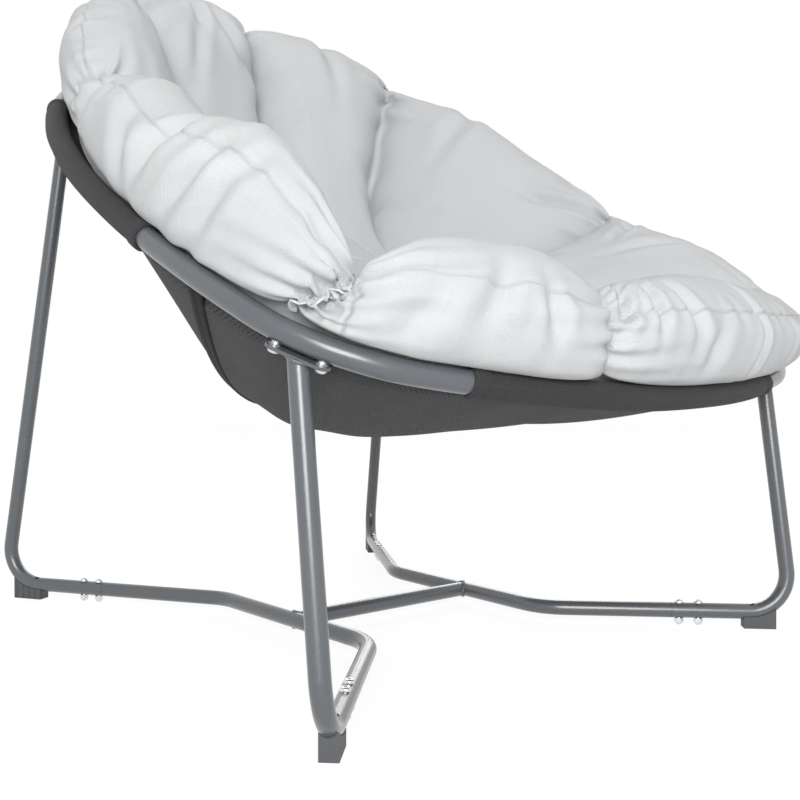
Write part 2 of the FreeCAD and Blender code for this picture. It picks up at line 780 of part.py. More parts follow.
shapes["sling_sleeve_front"] = front_sleeve()
shapes["sling_sleeve_rear"] = rear_sleeve()
shapes["sling_panel"] = sling_panel()
shapes["cushion"] = cushion()
shapes["cushion_tie_left"] = cushion_tie(-1)
shapes["cushion_tie_right"] = cushion_tie(1)

whole = Part.makeCompound(list(shapes.values())).optimalBoundingBox(False)
origin = Vector((whole.XMin + whole.XMax) / 2, (whole.YMin + whole.YMax) / 2, whole.ZMin)
print("origin moved to", origin, "size", whole.XLength, whole.YLength, whole.ZLength)
for name, shape in shapes.items():
    shape.translate(origin * -1)
    shape.exportStep("parts/" + name + ".step")
    print(name, len(shape.Solids), round(shape.Volume), shape.isValid())
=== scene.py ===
import math
import bpy
import numpy as np
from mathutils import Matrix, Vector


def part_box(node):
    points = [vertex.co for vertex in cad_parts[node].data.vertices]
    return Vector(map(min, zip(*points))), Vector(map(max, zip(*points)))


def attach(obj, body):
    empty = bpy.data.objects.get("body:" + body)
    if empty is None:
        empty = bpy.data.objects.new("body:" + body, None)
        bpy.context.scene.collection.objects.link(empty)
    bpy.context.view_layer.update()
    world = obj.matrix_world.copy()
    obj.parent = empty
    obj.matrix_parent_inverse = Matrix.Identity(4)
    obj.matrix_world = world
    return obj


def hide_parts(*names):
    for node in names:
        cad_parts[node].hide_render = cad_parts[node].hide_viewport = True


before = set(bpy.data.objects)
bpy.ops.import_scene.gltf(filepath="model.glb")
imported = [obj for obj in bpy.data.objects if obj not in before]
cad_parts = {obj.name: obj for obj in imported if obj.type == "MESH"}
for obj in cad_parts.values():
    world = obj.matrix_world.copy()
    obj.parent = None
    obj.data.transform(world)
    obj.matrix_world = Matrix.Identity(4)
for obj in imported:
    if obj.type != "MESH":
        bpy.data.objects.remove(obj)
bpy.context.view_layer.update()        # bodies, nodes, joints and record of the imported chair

print("frame loaded")


# Places on the hoop. It lies on a sloping plane: x runs across it, v up the slope from the line
# through the front legs, and n stands square to it. Metres and degrees.
hoopShape = {
    "tilt": 28.5, "lineHeight": 0.338, "tubeRadius": 0.011,
    "halfWidth": 0.411, "widestAt": 0.300, "frontAt": -0.093, "rearAt": 0.880,
    "frontRadius": 0.900, "frontCorner": 0.155, "sideRadius": 0.950,
    "rearCorner": 0.170, "rearRadius": 0.420, "pointsPerArc": 400,
}
slope = math.radians(hoopShape["tilt"])
slopeCos, slopeSin = math.cos(slope), math.sin(slope)
hoopUp = np.array([0, -slopeSin, slopeCos])
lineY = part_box("hoop")[0].y - hoopShape["frontAt"] * slopeCos + hoopShape["tubeRadius"]


def onPlane(x, v, n):
    # point = line through the front legs + v up the slope + n square to it
    x, v, n = np.broadcast_arrays(x, v, n)
    y = lineY + v * slopeCos - n * slopeSin
    z = hoopShape["lineHeight"] + v * slopeSin + n * slopeCos
    return np.stack([x, y, z], axis=-1)


def unit(vectors):
    # the same directions with length 1
    return vectors / np.maximum(np.linalg.norm(vectors, axis=-1, keepdims=True), 1e-9)


def squareTo(along, direction):
    # the part of a direction that stands square to along, with length 1
    return unit(direction - along * np.sum(direction * along, axis=-1, keepdims=True))


def shortTurn(turn, full=360):
    # the same turn between minus half and plus half of a full one
    return np.mod(turn + full / 2, full) - full / 2


def bearingFrom(middle, places):
    # bearing of places round a middle, in degrees
    return np.degrees(np.arctan2(places[:, 1] - middle[1], places[:, 0] - middle[0]))


def lengthSoFar(line):
    # length of a line of points from its start to each of them
    return np.concatenate([[0], np.cumsum(np.linalg.norm(np.diff(line, axis=0), axis=1))])


def cornerCentre(endCentre, endRadius, sideCentre, radius, turn):
    # centre of an arc that touches the end arc and the side arc from inside
    near = hoopShape["sideRadius"] - radius
    far = endRadius - radius
    along = endCentre - sideCentre
    span = np.hypot(*along)
    reach = (near ** 2 - far ** 2 + span ** 2) / (2 * span)
    offset = math.sqrt(near ** 2 - reach ** 2)
    along = along / span
    return sideCentre + along * reach + np.array([-along[1], along[0]]) * turn * offset


def hoopCentres():
    # centres of the five arcs of the right half, from front to rear
    h = hoopShape
    front = np.array([0, h["frontAt"] + h["frontRadius"]])
    side = np.array([h["halfWidth"] - h["sideRadius"], h["widestAt"]])
    rear = np.array([0, h["rearAt"] - h["rearRadius"]])
    frontCorner = cornerCentre(front, h["frontRadius"], side, h["frontCorner"], -1)
    rearCorner = cornerCentre(rear, h["rearRadius"], side, h["rearCorner"], 1)
    return front, frontCorner, side, rearCorner, rear


def hoopOutline():
    # tangent arcs, the right half from front to rear and then its mirror image
    centres = hoopCentres()
    front, frontCorner, side, rearCorner, rear = centres

    def bearing(a, b):
        return math.atan2(b[1] - a[1], b[0] - a[0])

    joins = [-math.pi / 2, bearing(front, frontCorner), bearing(side, frontCorner),
             bearing(side, rearCorner), bearing(rear, rearCorner), math.pi / 2]
    names = ("frontRadius", "frontCorner", "sideRadius", "rearCorner", "rearRadius")
    right = []
    for centre, name, start, end in zip(centres, names, joins, joins[1:]):
        turn = np.linspace(start, end, hoopShape["pointsPerArc"], endpoint=False)
        right.append(centre + hoopShape[name] * np.stack([np.cos(turn), np.sin(turn)], axis=-1))
    right = np.vstack(right + [np.array([[0, hoopShape["rearAt"]]])])
    left = right[::-1][1:] * [-1, 1]
    return np.vstack([right, left])


outline = hoopOutline()
outlineLength = lengthSoFar(outline)
hoopRound = outlineLength[-1]


def readOutline(value, knots):
    # places on the outline, by a value that grows along it
    return np.stack([np.interp(value, knots, outline[:, i]) for i in (0, 1)], axis=-1)


def alongHoop(distance):
    # place and direction on the hoop's centre line, by distance from its front middle
    place, ahead, behind = [readOutline(np.mod(distance + step, hoopRound), outlineLength)
                            for step in (0, 0.001, -0.001)]
    return place, unit(ahead - behind)


def distanceTo(x, v):
    # distance along the hoop of the place on it that lies nearest to (x, v)
    return float(outlineLength[np.argmin(np.hypot(outline[:, 0] - x, outline[:, 1] - v))])


def smoothStep(value, low, high):
    # 0 below low, 1 above high, and 3t^2 - 2t^3 between
    t = np.clip((value - low) / (high - low), 0, 1)
    return t * t * (3 - 2 * t)


def throughPoints(rows, t):
    # Catmull-Rom curve through rows of control points, read at places t from 0 to k - 1
    k = len(rows)
    i = np.minimum(t.astype(int), k - 2)
    f = (t - i).reshape((-1,) + (1,) * (rows.ndim - 1))
    before, here = rows[np.maximum(i - 1, 0)], rows[i]
    there, after = rows[i + 1], rows[np.minimum(i + 2, k - 1)]
    return 0.5 * (2 * here + (there - before) * f
                  + (2 * before - 5 * here + 4 * there - after) * f ** 2
                  + (3 * here - before - 3 * there + after) * f ** 3)


def ripple(seed, along, across, waves):
    # sum of seeded sine waves over two coordinates, each about -1 to 1; the third number of a draw
    # isn't used
    draw = np.random.default_rng(seed)
    total = 0
    for _ in range(waves):
        turn, phase, _ = draw.uniform(0, 2 * math.pi, 3)
        rate = draw.uniform(0.6, 1.7)
        total = total + np.sin((along * math.cos(turn) + across * math.sin(turn)) * rate + phase)
    return total / math.sqrt(waves)


def gridNormals(points):
    # unit normals of a grid of points, rows first, whose columns meet
    down = np.gradient(points, axis=0)
    across = (np.roll(points, -1, axis=1) - np.roll(points, 1, axis=1)) / 2
    return unit(np.cross(across, down))


def addObject(name, data):
    thing = bpy.data.objects.new(name, data)
    bpy.context.scene.collection.objects.link(thing)
    return thing


def makeMesh(name, vertices, faces, uv=None):
    # a smooth mesh object; uv has one pair of weave coordinates for each corner of each face
    mesh = bpy.data.meshes.new(name)
    faces = faces.tolist() if hasattr(faces, "tolist") else faces
    mesh.from_pydata(vertices.reshape(-1, 3).tolist(), [], faces)
    if uv is not None:
        layer = mesh.uv_layers.new(name="weave")
        layer.data.foreach_set("uv", uv.astype(np.float32).ravel())
    mesh.polygons.foreach_set("use_smooth", [True] * len(mesh.polygons))
    mesh.update()
    return addObject(name, mesh)


def thicken(sheet, thickness):
    # gives a sheet its thickness, half to each side
    solid = sheet.modifiers.new("thickness", "SOLIDIFY")
    solid.thickness = thickness
    solid.offset = 0


def gridFaces(rows, columns, closed, offset=0):
    # quads of a grid whose vertices are counted row by row
    wide = columns if closed else columns - 1
    r, c = np.meshgrid(np.arange(rows - 1), np.arange(wide), indexing="ij")
    nextColumn = (c + 1) % columns
    corners = [r * columns + c, r * columns + nextColumn,
               (r + 1) * columns + nextColumn, (r + 1) * columns + c]
    return np.stack(corners, axis=-1).reshape(-1, 4) + offset


def gridUv(rows, columns, closed, across, along):
    # one pair of weave coordinates for each corner of the same quads, in metres
    across, along = np.broadcast_arrays(across, along)
    wide = columns if closed else columns - 1
    r, c = np.meshgrid(np.arange(rows - 1), np.arange(wide), indexing="ij")
    corners = [np.stack([across[rr, cc], along[rr, cc]], axis=-1)
               for rr, cc in ((r, c), (r, c + 1), (r + 1, c + 1), (r + 1, c))]
    return np.stack(corners, axis=2).reshape(-1, 2)


def makeStrips(name, strips, thickness, cloth):
    # one mesh of several bands of cloth; each gives its lines of places, width and lengths so far
    vertices, faces, uvs = [], [], []
    for lines, width, length in strips:
        rows, count = lines.shape[:2]
        faces.append(gridFaces(rows, count, False, sum(len(part) for part in vertices)))
        vertices.append(lines.reshape(-1, 3))
        uvs.append(gridUv(rows, count, False, np.linspace(0, width, rows)[:, None], length))
    bands = makeMesh(name, np.vstack(vertices), np.vstack(faces), np.vstack(uvs))
    thicken(bands, thickness)
    bands.data.materials.append(cloth)
    return bands


def sweepRibbon(name, centres, outward, width, thickness):
    # flat tape: a rectangle of width x thickness carried along a path, its flat side facing outward
    along = unit(np.gradient(centres, axis=0))
    outward = squareTo(along, outward)
    across = np.cross(along, outward) * np.asarray(width)[..., None] / 2
    lift = outward * thickness / 2
    points = np.stack([centres + across + lift, centres - across + lift,
                       centres - across - lift, centres + across - lift], axis=1)
    count = len(centres)
    last = (count - 1) * 4
    faces = gridFaces(count, 4, True)[:, ::-1].tolist()
    faces += [[0, 1, 2, 3], [last + 3, last + 2, last + 1, last]]
    return makeMesh(name, points, faces)


# Shader nodes. An input takes the output of another node or a plain value.
def setInput(tree, socket, value):
    if isinstance(value, bpy.types.NodeSocket):
        tree.links.new(value, socket)
    else:
        socket.default_value = value


def setInputs(tree, node, **values):
    # inputs by name, with _ for a blank
    for label, value in values.items():
        setInput(tree, node.inputs[label.replace("_", " ")], value)
    return node


def newNode(tree, kind, **values):
    return setInputs(tree, tree.nodes.new(kind), **values)


def mathNode(tree, operation, *values):
    node = tree.nodes.new("ShaderNodeMath")
    node.operation = operation
    for socket, value in zip(node.inputs, values):
        setInput(tree, socket, value)
    return node.outputs[0]


def times(tree, first, second):
    return mathNode(tree, "MULTIPLY", first, second)


def plus(tree, first, second):
    return mathNode(tree, "ADD", first, second)


def mixShaders(tree, share, first, second):
    mix = tree.nodes.new("ShaderNodeMixShader")
    for socket, value in zip(mix.inputs, (share, first.outputs[0], second.outputs[0])):
        setInput(tree, socket, value)
    return mix.outputs[0]


def emptyTree(owner):
    owner.use_nodes = True
    owner.node_tree.nodes.clear()
    return owner.node_tree


# Camera, light and floor. "ahead" is the camera's distance in front of the hoop's line.
cameraPlace = {"across": -0.8041, "ahead": 0.64955, "height": 0.3049, "yaw": 39.867, "pitch": -0.824,
               "lens": 43.932, "sensor": 36, "clipStart": 0.05}


def placeCamera():
    data = bpy.data.cameras.new("camera")
    data.lens = cameraPlace["lens"]
    data.sensor_width = cameraPlace["sensor"]
    data.clip_start = cameraPlace["clipStart"]
    thing = addObject("camera", data)
    thing.location = (cameraPlace["across"], lineY - cameraPlace["ahead"], cameraPlace["height"])
    tip, turn = math.radians(90 + cameraPlace["pitch"]), -math.radians(cameraPlace["yaw"])
    thing.rotation_euler = (tip, 0, turn)
    bpy.context.scene.camera = thing


studio = {
    "white": (1, 1, 1, 1), "worldLight": 0.53, "worldShown": 1.0, "lampTarget": (0, 0, 0.45),
    "floorSize": 12.0, "floorTint": (0.86, 0.86, 0.86, 1), "floorGlow": 0.80, "floorBright": 1.12,
    "lamps": {  # place, size and watts
        "key": ((-2.0, -2.5, 1.1), 1.5, 86),
        "top": ((0.2, -0.3, 3.0), 1.8, 10),
        "rim": ((2.4, 2.4, 1.8), 1.8, 30),
    },
}


def addLamp(name, place, size, watts):
    # a square lamp that faces the chair
    data = bpy.data.lights.new(name, "AREA")
    data.shape = "SQUARE"
    data.size = size
    data.energy = watts
    thing = addObject(name, data)
    thing.location = place
    look = np.array(studio["lampTarget"]) - np.array(place)
    tip = math.acos(-look[2] / np.linalg.norm(look))
    thing.rotation_euler = (tip, 0, math.atan2(look[1], look[0]) - math.pi / 2)


def seenDirectly(tree):
    # 1 for camera, glossy and transmission rays, so that metal shows the white room too
    rays = tree.nodes.new("ShaderNodeLightPath").outputs
    either = mathNode(tree, "MAXIMUM", rays["Is Camera Ray"], rays["Is Glossy Ray"])
    return mathNode(tree, "MAXIMUM", either, rays["Is Transmission Ray"])


def buildStudio():
    bpy.context.scene.view_settings.view_transform = "Standard"
    world = bpy.data.worlds.new("studio")
    bpy.context.scene.world = world
    tree = emptyTree(world)
    white = studio["white"]
    lighting = newNode(tree, "ShaderNodeBackground", Color=white, Strength=studio["worldLight"])
    shown = newNode(tree, "ShaderNodeBackground", Color=white, Strength=studio["worldShown"])
    room = mixShaders(tree, seenDirectly(tree), lighting, shown)
    newNode(tree, "ShaderNodeOutputWorld", Surface=room)
    for name, (place, size, watts) in studio["lamps"].items():
        addLamp(name, place, size, watts)
    half = studio["floorSize"] / 2
    corners = np.array([[-half, -half, 0], [half, -half, 0], [half, half, 0], [-half, half, 0]])
    floor = makeMesh("floor", corners, [[0, 1, 2, 3]])
    material = bpy.data.materials.new("paleFloor")
    tree = emptyTree(material)
    diffuse = newNode(tree, "ShaderNodeBsdfDiffuse", Color=studio["floorTint"])
    glow = newNode(tree, "ShaderNodeEmission", Color=white, Strength=studio["floorBright"])
    share = times(tree, seenDirectly(tree), studio["floorGlow"])
    newNode(tree, "ShaderNodeOutputMaterial", Surface=mixShaders(tree, share, diffuse, glow))
    floor.data.materials.append(material)


placeCamera()
buildStudio()
print("camera, light and floor ready")


# Materials
def newGroup(name, values, results):
    # node group with a vector, numbers with their usual values, and numbers as its results
    group = bpy.data.node_groups.new(name, "ShaderNodeTree")
    group.interface.new_socket("Vector", in_out="INPUT", socket_type="NodeSocketVector")
    for label, value in values.items():
        socket = group.interface.new_socket(label, in_out="INPUT", socket_type="NodeSocketFloat")
        socket.default_value = value
    for label in results:
        group.interface.new_socket(label, in_out="OUTPUT", socket_type="NodeSocketFloat")
    return group, group.nodes.new("NodeGroupInput").outputs, group.nodes.new("NodeGroupOutput")


def noiseNode(tree, vector, scale, detail):
    return newNode(tree, "ShaderNodeTexNoise", Vector=vector, Scale=scale, Detail=detail,
                   Roughness=0.55).outputs["Fac"]


def speckleGroup():
    # patchy noise: a broad and a fine layer, given as a shade factor about 1 and a height;
    # shade = 1 + spread x (1.2 broad + 0.8 fine - 1)
    group, entry, leave = newGroup("speckle", {"Broad Scale": 6.0, "Fine Scale": 600.0, "Spread": 0.1},
                                   ["Shade", "Height", "Patches"])
    broad = noiseNode(group, entry["Vector"], entry["Broad Scale"], 4.0)
    fine = noiseNode(group, entry["Vector"], entry["Fine Scale"], 2.0)
    both = plus(group, times(group, broad, 1.2), times(group, fine, 0.8))
    shade = plus(group, times(group, mathNode(group, "SUBTRACT", both, 1.0), entry["Spread"]), 1.0)
    setInputs(group, leave, Shade=shade, Height=fine, Patches=broad)
    return group


def weaveGroup():
    # plain weave: warp and weft threads |sin(pi u)| and |sin(pi w)|, over and under by the parity
    # of the cell, with threads that swell and fade along their length
    group, entry, leave = newGroup("plainWeave", {"Threads": 800.0, "Slub": 0.2}, ["Thread", "Slubs"])
    split = newNode(group, "ShaderNodeSeparateXYZ", Vector=entry["Vector"])
    u, w = [times(group, split.outputs[i], entry["Threads"]) for i in (0, 1)]
    warp, weft = [mathNode(group, "ABSOLUTE", mathNode(group, "SINE", times(group, place, math.pi)))
                  for place in (u, w)]
    cells = plus(group, mathNode(group, "FLOOR", u), mathNode(group, "FLOOR", w))
    parity = mathNode(group, "PINGPONG", cells, 1.0)
    under = times(group, weft, mathNode(group, "SUBTRACT", 1.0, parity))
    thread = plus(group, times(group, warp, parity), under)
    layers = []
    for scale in ((30, 700, 1), (700, 30, 1)):
        stretched = newNode(group, "ShaderNodeMapping", Vector=entry["Vector"], Scale=scale)
        layers.append(noiseNode(group, stretched.outputs[0], 1.0, 2.0))
    slubs = times(group, mathNode(group, "SUBTRACT", plus(group, *layers), 1.0), entry["Slub"])
    setInputs(group, leave, Thread=thread, Slubs=slubs)
    return group


speckle = speckleGroup()
plainWeave = weaveGroup()


# Scales count per metre. "patch", "grain" and "spread" are the speckle's broad and fine scale and
# the spread of its shade, "bump" is the height of the relief in metres. In a cloth the colour
# factor is base + thread x warp + slubs: the thread term is painted shade in the grooves between the
# threads, and the slubs vary the yarn's tone. The relief is thread + slubs x slubHeight.
paintFinish = {"colour": (0.086, 0.094, 0.103), "roughness": 0.27, "roughSpread": 0.16,
               "metallic": 0.0, "coat": 0.50, "coatRoughness": 0.22,
               "patch": 9.0, "grain": 900.0, "spread": 0.22, "bump": 0.00012}
zincFinish = {"colour": (0.70, 0.71, 0.72), "roughness": 0.30, "roughSpread": 0.2,
              "metallic": 1.0, "coat": 0.0, "coatRoughness": 0.03,
              "patch": 120.0, "grain": 1500.0, "spread": 0.25, "bump": 0.00004}
plasticFinish = {"colour": (0.068, 0.071, 0.076), "roughness": 0.55, "patch": 60.0, "grain": 1800.0,
                 "spread": 0.35, "bump": 0.0006, "ribs": 1900.0, "ribTop": 1.05, "ribPaintedShade": 0.35}
meshFinish = {"colour": (0.088, 0.089, 0.093), "roughness": 0.74, "patch": 14.0, "grain": 700.0,
              "spread": 0.25, "bump": 0.0004, "threads": 620.0, "slub": 0.5, "base": 0.25,
              "thread": 1.35, "slubs": 1.0, "slubHeight": 0.0, "sheen": 0.05, "specular": 0.25}
linenFinish = {"colour": (0.605, 0.617, 0.625), "roughness": 0.92, "patch": 5.0, "grain": 260.0,
               "spread": 0.05, "bump": 0.00035, "threads": 900.0, "slub": 0.35, "base": 0.82,
               "thread": 0.30, "slubs": 0.35, "slubHeight": 1.5, "sheen": 0.1, "specular": 0.5}
tapeFinish = {"colour": (0.62, 0.625, 0.63), "roughness": 0.8, "bump": 0.0002, "threads": 1500.0,
              "slub": 0.3, "base": 0.8, "thread": 0.3}


def startMaterial(name, finish, coordinates="Object"):
    # material, its tree, its shader and the coordinates of the object or of its weave
    material = bpy.data.materials.new(name)
    tree = emptyTree(material)
    shader = newNode(tree, "ShaderNodeBsdfPrincipled", Roughness=finish["roughness"])
    newNode(tree, "ShaderNodeOutputMaterial", Surface=shader.outputs[0])
    if coordinates == "Object":
        return material, tree, shader, tree.nodes.new("ShaderNodeTexCoord").outputs["Object"]
    layer = tree.nodes.new("ShaderNodeUVMap")
    layer.uv_map = coordinates
    return material, tree, shader, layer.outputs["UV"]


def useGroup(tree, group, vector, **values):
    node = tree.nodes.new("ShaderNodeGroup")
    node.node_tree = group
    return setInputs(tree, node, Vector=vector, **values).outputs


def addGrain(tree, place, finish):
    return useGroup(tree, speckle, place, Broad_Scale=finish["patch"], Fine_Scale=finish["grain"],
                    Spread=finish["spread"])


def addWeave(tree, place, finish):
    return useGroup(tree, plainWeave, place, Threads=finish["threads"], Slub=finish["slub"])


def addColour(tree, shader, finish, factor):
    # the finish's colour times a factor that changes over the surface
    scaled = tree.nodes.new("ShaderNodeVectorMath")
    scaled.operation = "SCALE"
    scaled.inputs[0].default_value = finish["colour"]
    setInputs(tree, scaled, Scale=factor)
    setInputs(tree, shader, Base_Color=scaled.outputs[0])


def addBump(tree, shader, finish, height):
    bump = newNode(tree, "ShaderNodeBump", Distance=finish["bump"], Strength=1.0, Height=height)
    setInputs(tree, shader, Normal=bump.outputs[0])


def makeHard(name, finish):
    # paint or plated steel; roughness + spread x (patches - 1/2)
    material, tree, shader, place = startMaterial(name, finish)
    grain = addGrain(tree, place, finish)
    addColour(tree, shader, finish, grain["Shade"])
    spread = finish["roughSpread"]
    rough = plus(tree, times(tree, grain["Patches"], spread), finish["roughness"] - spread / 2)
    setInputs(tree, shader, Roughness=rough, Metallic=finish["metallic"], Coat_Weight=finish["coat"],
              Coat_Roughness=finish["coatRoughness"])
    addBump(tree, shader, finish, grain["Height"])
    return material


def makePlastic():
    # upright ribs max(0, sin(k (x + y))), with painted shade on their backs
    material, tree, shader, place = startMaterial("footPlastic", plasticFinish)
    grain = addGrain(tree, place, plasticFinish)
    parts = newNode(tree, "ShaderNodeSeparateXYZ", Vector=place).outputs
    across = times(tree, plus(tree, parts[0], parts[1]), plasticFinish["ribs"])
    ribs = mathNode(tree, "MAXIMUM", mathNode(tree, "SINE", across), 0.0)
    # painted shade: the backs of the ribs get a lower colour factor
    paintedRibShade = times(tree, ribs, plasticFinish["ribPaintedShade"])
    shade = mathNode(tree, "SUBTRACT", plasticFinish["ribTop"], paintedRibShade)
    addColour(tree, shader, plasticFinish, times(tree, grain["Shade"], shade))
    addBump(tree, shader, plasticFinish, ribs)
    return material


def makeCloth(name, finish, brightness):
    material, tree, shader, place = startMaterial(name, finish, "weave")
    weave, grain = addWeave(tree, place, finish), addGrain(tree, place, finish)
    # the thread term paints shade into the grooves between the threads; the slubs vary the yarn's tone
    lit = plus(tree, times(tree, weave["Thread"], finish["thread"]), finish["base"])
    lit = plus(tree, lit, times(tree, weave["Slubs"], finish["slubs"]))
    addColour(tree, shader, finish, times(tree, lit, times(tree, grain["Shade"], brightness)))
    setInputs(tree, shader, Sheen_Weight=finish["sheen"], Specular_IOR_Level=finish["specular"])
    slubs = times(tree, weave["Slubs"], finish["slubHeight"])
    addBump(tree, shader, finish, plus(tree, weave["Thread"], slubs))
    return material


def makeTape():
    material, tree, shader, place = startMaterial("tieTape", tapeFinish)
    thread = addWeave(tree, place, tapeFinish)["Thread"]
    # the thread term paints shade into the grooves between the threads
    lit = plus(tree, times(tree, thread, tapeFinish["thread"]), tapeFinish["base"])
    addColour(tree, shader, tapeFinish, lit)
    addBump(tree, shader, tapeFinish, thread)
    return material


framePaint = makeHard("framePaint", paintFinish)
zincPlate = makeHard("zincPlate", zincFinish)
footPlastic = makePlastic()
slingMesh = makeCloth("slingMesh", meshFinish, 0.58)
# painted shade: the sleeves and the seam bands take the sling's mesh at lower brightness
shadedSleeveMesh = makeCloth("shadedSleeveMesh", meshFinish, 0.34)
shadedSeamMesh = makeCloth("shadedSeamMesh", meshFinish, 0.14)
cushionLinen = makeCloth("cushionLinen", linenFinish, 1.0)
tieTape = makeTape()


def dressNodes():
    # every shown CAD node gets its finish by its name
    zinc = ("joint_", "plate_screws", "plate_washers", "threaded_inserts", "foot_screws")
    for name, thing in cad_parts.items():
        chosen = framePaint
        if name.startswith(zinc):
            chosen = zincPlate
        elif name.startswith(("foot_front", "foot_rear")):
            chosen = footPlastic
        thing.data.materials.clear()
        thing.data.materials.append(chosen)


dressNodes()
print("materials ready")


# Sling surface, which the cushion lies on. Rings of the hoop's outline shrink towards a deepest
# place: at share s of the outline the depth is full depth x (1 - s ^ steepness), and the steepness
# depends on the bearing. Its kinks are the seams that run down from beside the legs.
slingShape = {
    "deepest": (0.0, 0.372), "depth": 0.2130, "thickness": 0.0012,
    # where the cloth starts, from the tube's centre line
    "edgeInward": 0.013774, "edgeBelow": 0.003408,
    "bearings": (0, 60, 90, 120, 180, 212, 270, 328, 360),
    "steepness": (0.95, 1.10, 1.85, 1.10, 0.95, 3.50, 1.90, 2.70, 0.95),
    "seams": (60, 120, 211, 329), "columns": 720, "rows": 60,
    "tension": 0.0028, "weaveStretch": 1.12,
}


def slingRing(place, share, rise):
    # ring of the sling's surface under outline places, raised by so much
    middle = np.array(slingShape["deepest"])
    steep = np.interp(bearingFrom(middle, place), slingShape["bearings"], slingShape["steepness"],
                      period=360)
    flat = middle + (place - middle) * share
    depth = slingShape["depth"] * (1 - share ** steep)
    return np.concatenate([flat, (rise - depth)[:, None]], axis=1)


# Cushion. Its surface is a function of the place round the hoop and of a profile that starts at the
# dish's middle, climbs the inner side of the lobes to their crest, comes down the outside to the
# hoop, and runs back below along the sling. Bearings in degrees round the middle, heights above
# the hoop. The creases are given at the crest and, as rims, where they reach the hoop.
cushionShape = {
    "middle": (0.0, 0.345), "columns": 760,
    "creases": (1, 61, 91, 120, 158, 226, 256, 320),
    "rimCreases": (2, 62, 92, 121, 163, 221, 258, 321),
    "notches": (0.022, 0.030, 0.030, 0.014, 0.024, 0.034, 0.018, 0.014),
    # how far each row of the profile is on the way from crest to rim
    "slants": (0, 0, 0, 0, 0, 0, 0, 0, 0, 0, 0.10, 0.35, 0.75, 1, 1, 1),
    "pinches": (1.6, 2.0, 2.0, 0.9, 1.1, 1.7, 1.2, 1.0),  # how far each crease is drawn in
    "crests": ((0, .072), (8, .082), (19, .088), (28, .096), (41, .113), (55, .122), (65, .136),
               (75, .142), (88, .146), (97, .156), (106, .161), (118, .156), (130, .150), (142, .132),
               (152, .112), (160, .100), (171, .108), (182, .121), (193, .104), (201, .118),
               (208, .133), (214, .130), (219, .118), (223, .100), (226, .086), (231, .101),
               (238, .102), (244, .106), (252, .102), (257, .100), (265, .105), (280, .106),
               (292, .098), (305, .090), (320, .080), (334, .084), (345, .078), (352, .072)),
    "seamAt": 9.35, "seamDepth": 0.0028, "overSling": 0.0058,
    # at the rear left and right the cushion's edge stands back from the hoop, by this much per bearing
    "insets": ((128, 0), (144, .017), (160, .028), (176, .018), (192, .005), (204, 0)),
    "insetShares": (0, 0, 0, 0, 0, 0, 0, 0, 0, 0.15, 0.30, 0.42, 0.70, 1.0, 0.8, 0.35),
}


# Rows of the profile: share of the reach and its change in a crease; extra distance outward and
# its change; height in crests and in metres, and its change in metres.
cushionProfile = [
    (0.00, 0.00, 0, 0, 0.00, -0.050, 0.000),
    (0.13, 0.00, 0, 0, 0.00, -0.049, -0.002),
    (0.28, 0.01, 0, 0, 0.00, -0.044, -0.013),
    (0.43, 0.02, 0, 0, 0.00, -0.028, -0.026),
    (0.57, 0.05, 0, 0, 0.00, 0.004, -0.040),
    (0.68, 0.085, 0, 0, 0.44, 0.000, -0.018),
    (0.765, 0.090, 0, 0, 0.80, 0.000, -0.012),
    (0.845, 0.065, 0, 0, 0.975, 0.000, -0.004),
    (0.905, 0.025, 0, 0, 1.00, 0.000, 0.000),
    (0.960, -0.010, 0.003, -0.004, 0.93, 0.000, 0.000),
    (1.000, -0.015, 0.009, -0.014, 0.76, 0.000, 0.000),
    (1.000, -0.010, 0.016, -0.024, 0.52, 0.000, 0.002),
    (1.000, -0.008, 0.014, -0.022, 0.30, 0.000, 0.004),
    (1.000, -0.006, 0.004, -0.014, 0.00, 0.0154, 0.006),
    (1.000, -0.006, -0.0125, -0.008, 0.00, 0.0118, 0.004),
    (1.000, 0.000, -0.024, -0.004, 0.00, -0.006, 0.004),
]


def creaseLines(slant):
    # bearings of the creases, that far on their way from crest to rim
    creases = np.array(cushionShape["creases"], float)
    return creases + slant * (np.array(cushionShape["rimCreases"]) - creases)


def lobeShare(bearing, slant):
    # for each bearing: the lobe it lies in, its place -1..1 across the lobe, and the lobe's width
    creases = creaseLines(slant)
    widths = np.mod(np.roll(creases, -1) - creases, 360)
    index = np.searchsorted(creases, bearing, side="right") - 1
    index = np.where(index < 0, len(creases) - 1, index)
    return index, np.mod(bearing - creases[index], 360) / widths[index] * 2 - 1, widths[index]


def cushionProfiles(bearing):
    # control rows of the profile as (share of the reach, extra outward distance, height). The lobe's
    # fullness (1 - |place|^3)^(1/2) is 1 over most of it and drops steeply to 0 at its creases.
    crestTable, insets = np.array(cushionShape["crests"]), np.array(cushionShape["insets"])
    crest = np.interp(bearing, crestTable[:, 0], crestTable[:, 1], period=360)
    inset = np.interp(bearing, insets[:, 0], insets[:, 1], left=0, right=0)
    pinches, notches = np.array(cushionShape["pinches"]), np.array(cushionShape["notches"])
    rows = []
    for row, (share, shareLow, extra, extraLow, high, metres, metresLow) in enumerate(cushionProfile):
        index, place, _ = lobeShare(bearing, cushionShape["slants"][row])
        full = np.sqrt(np.clip(1 - np.abs(place) ** 3, 0, 1))
        nearest = np.where(place < 0, index, (index + 1) % len(pinches))
        low = (1 - full) ** (2 if row > 9 else 1)  # narrower near the hoop
        pinch = pinches[nearest] * low
        height = high * (crest - notches[nearest] * low) + metres + metresLow * pinch
        back = inset * cushionShape["insetShares"][row]
        rows.append((share + shareLow * pinch, extra + extraLow * pinch - back, height))
    return rows


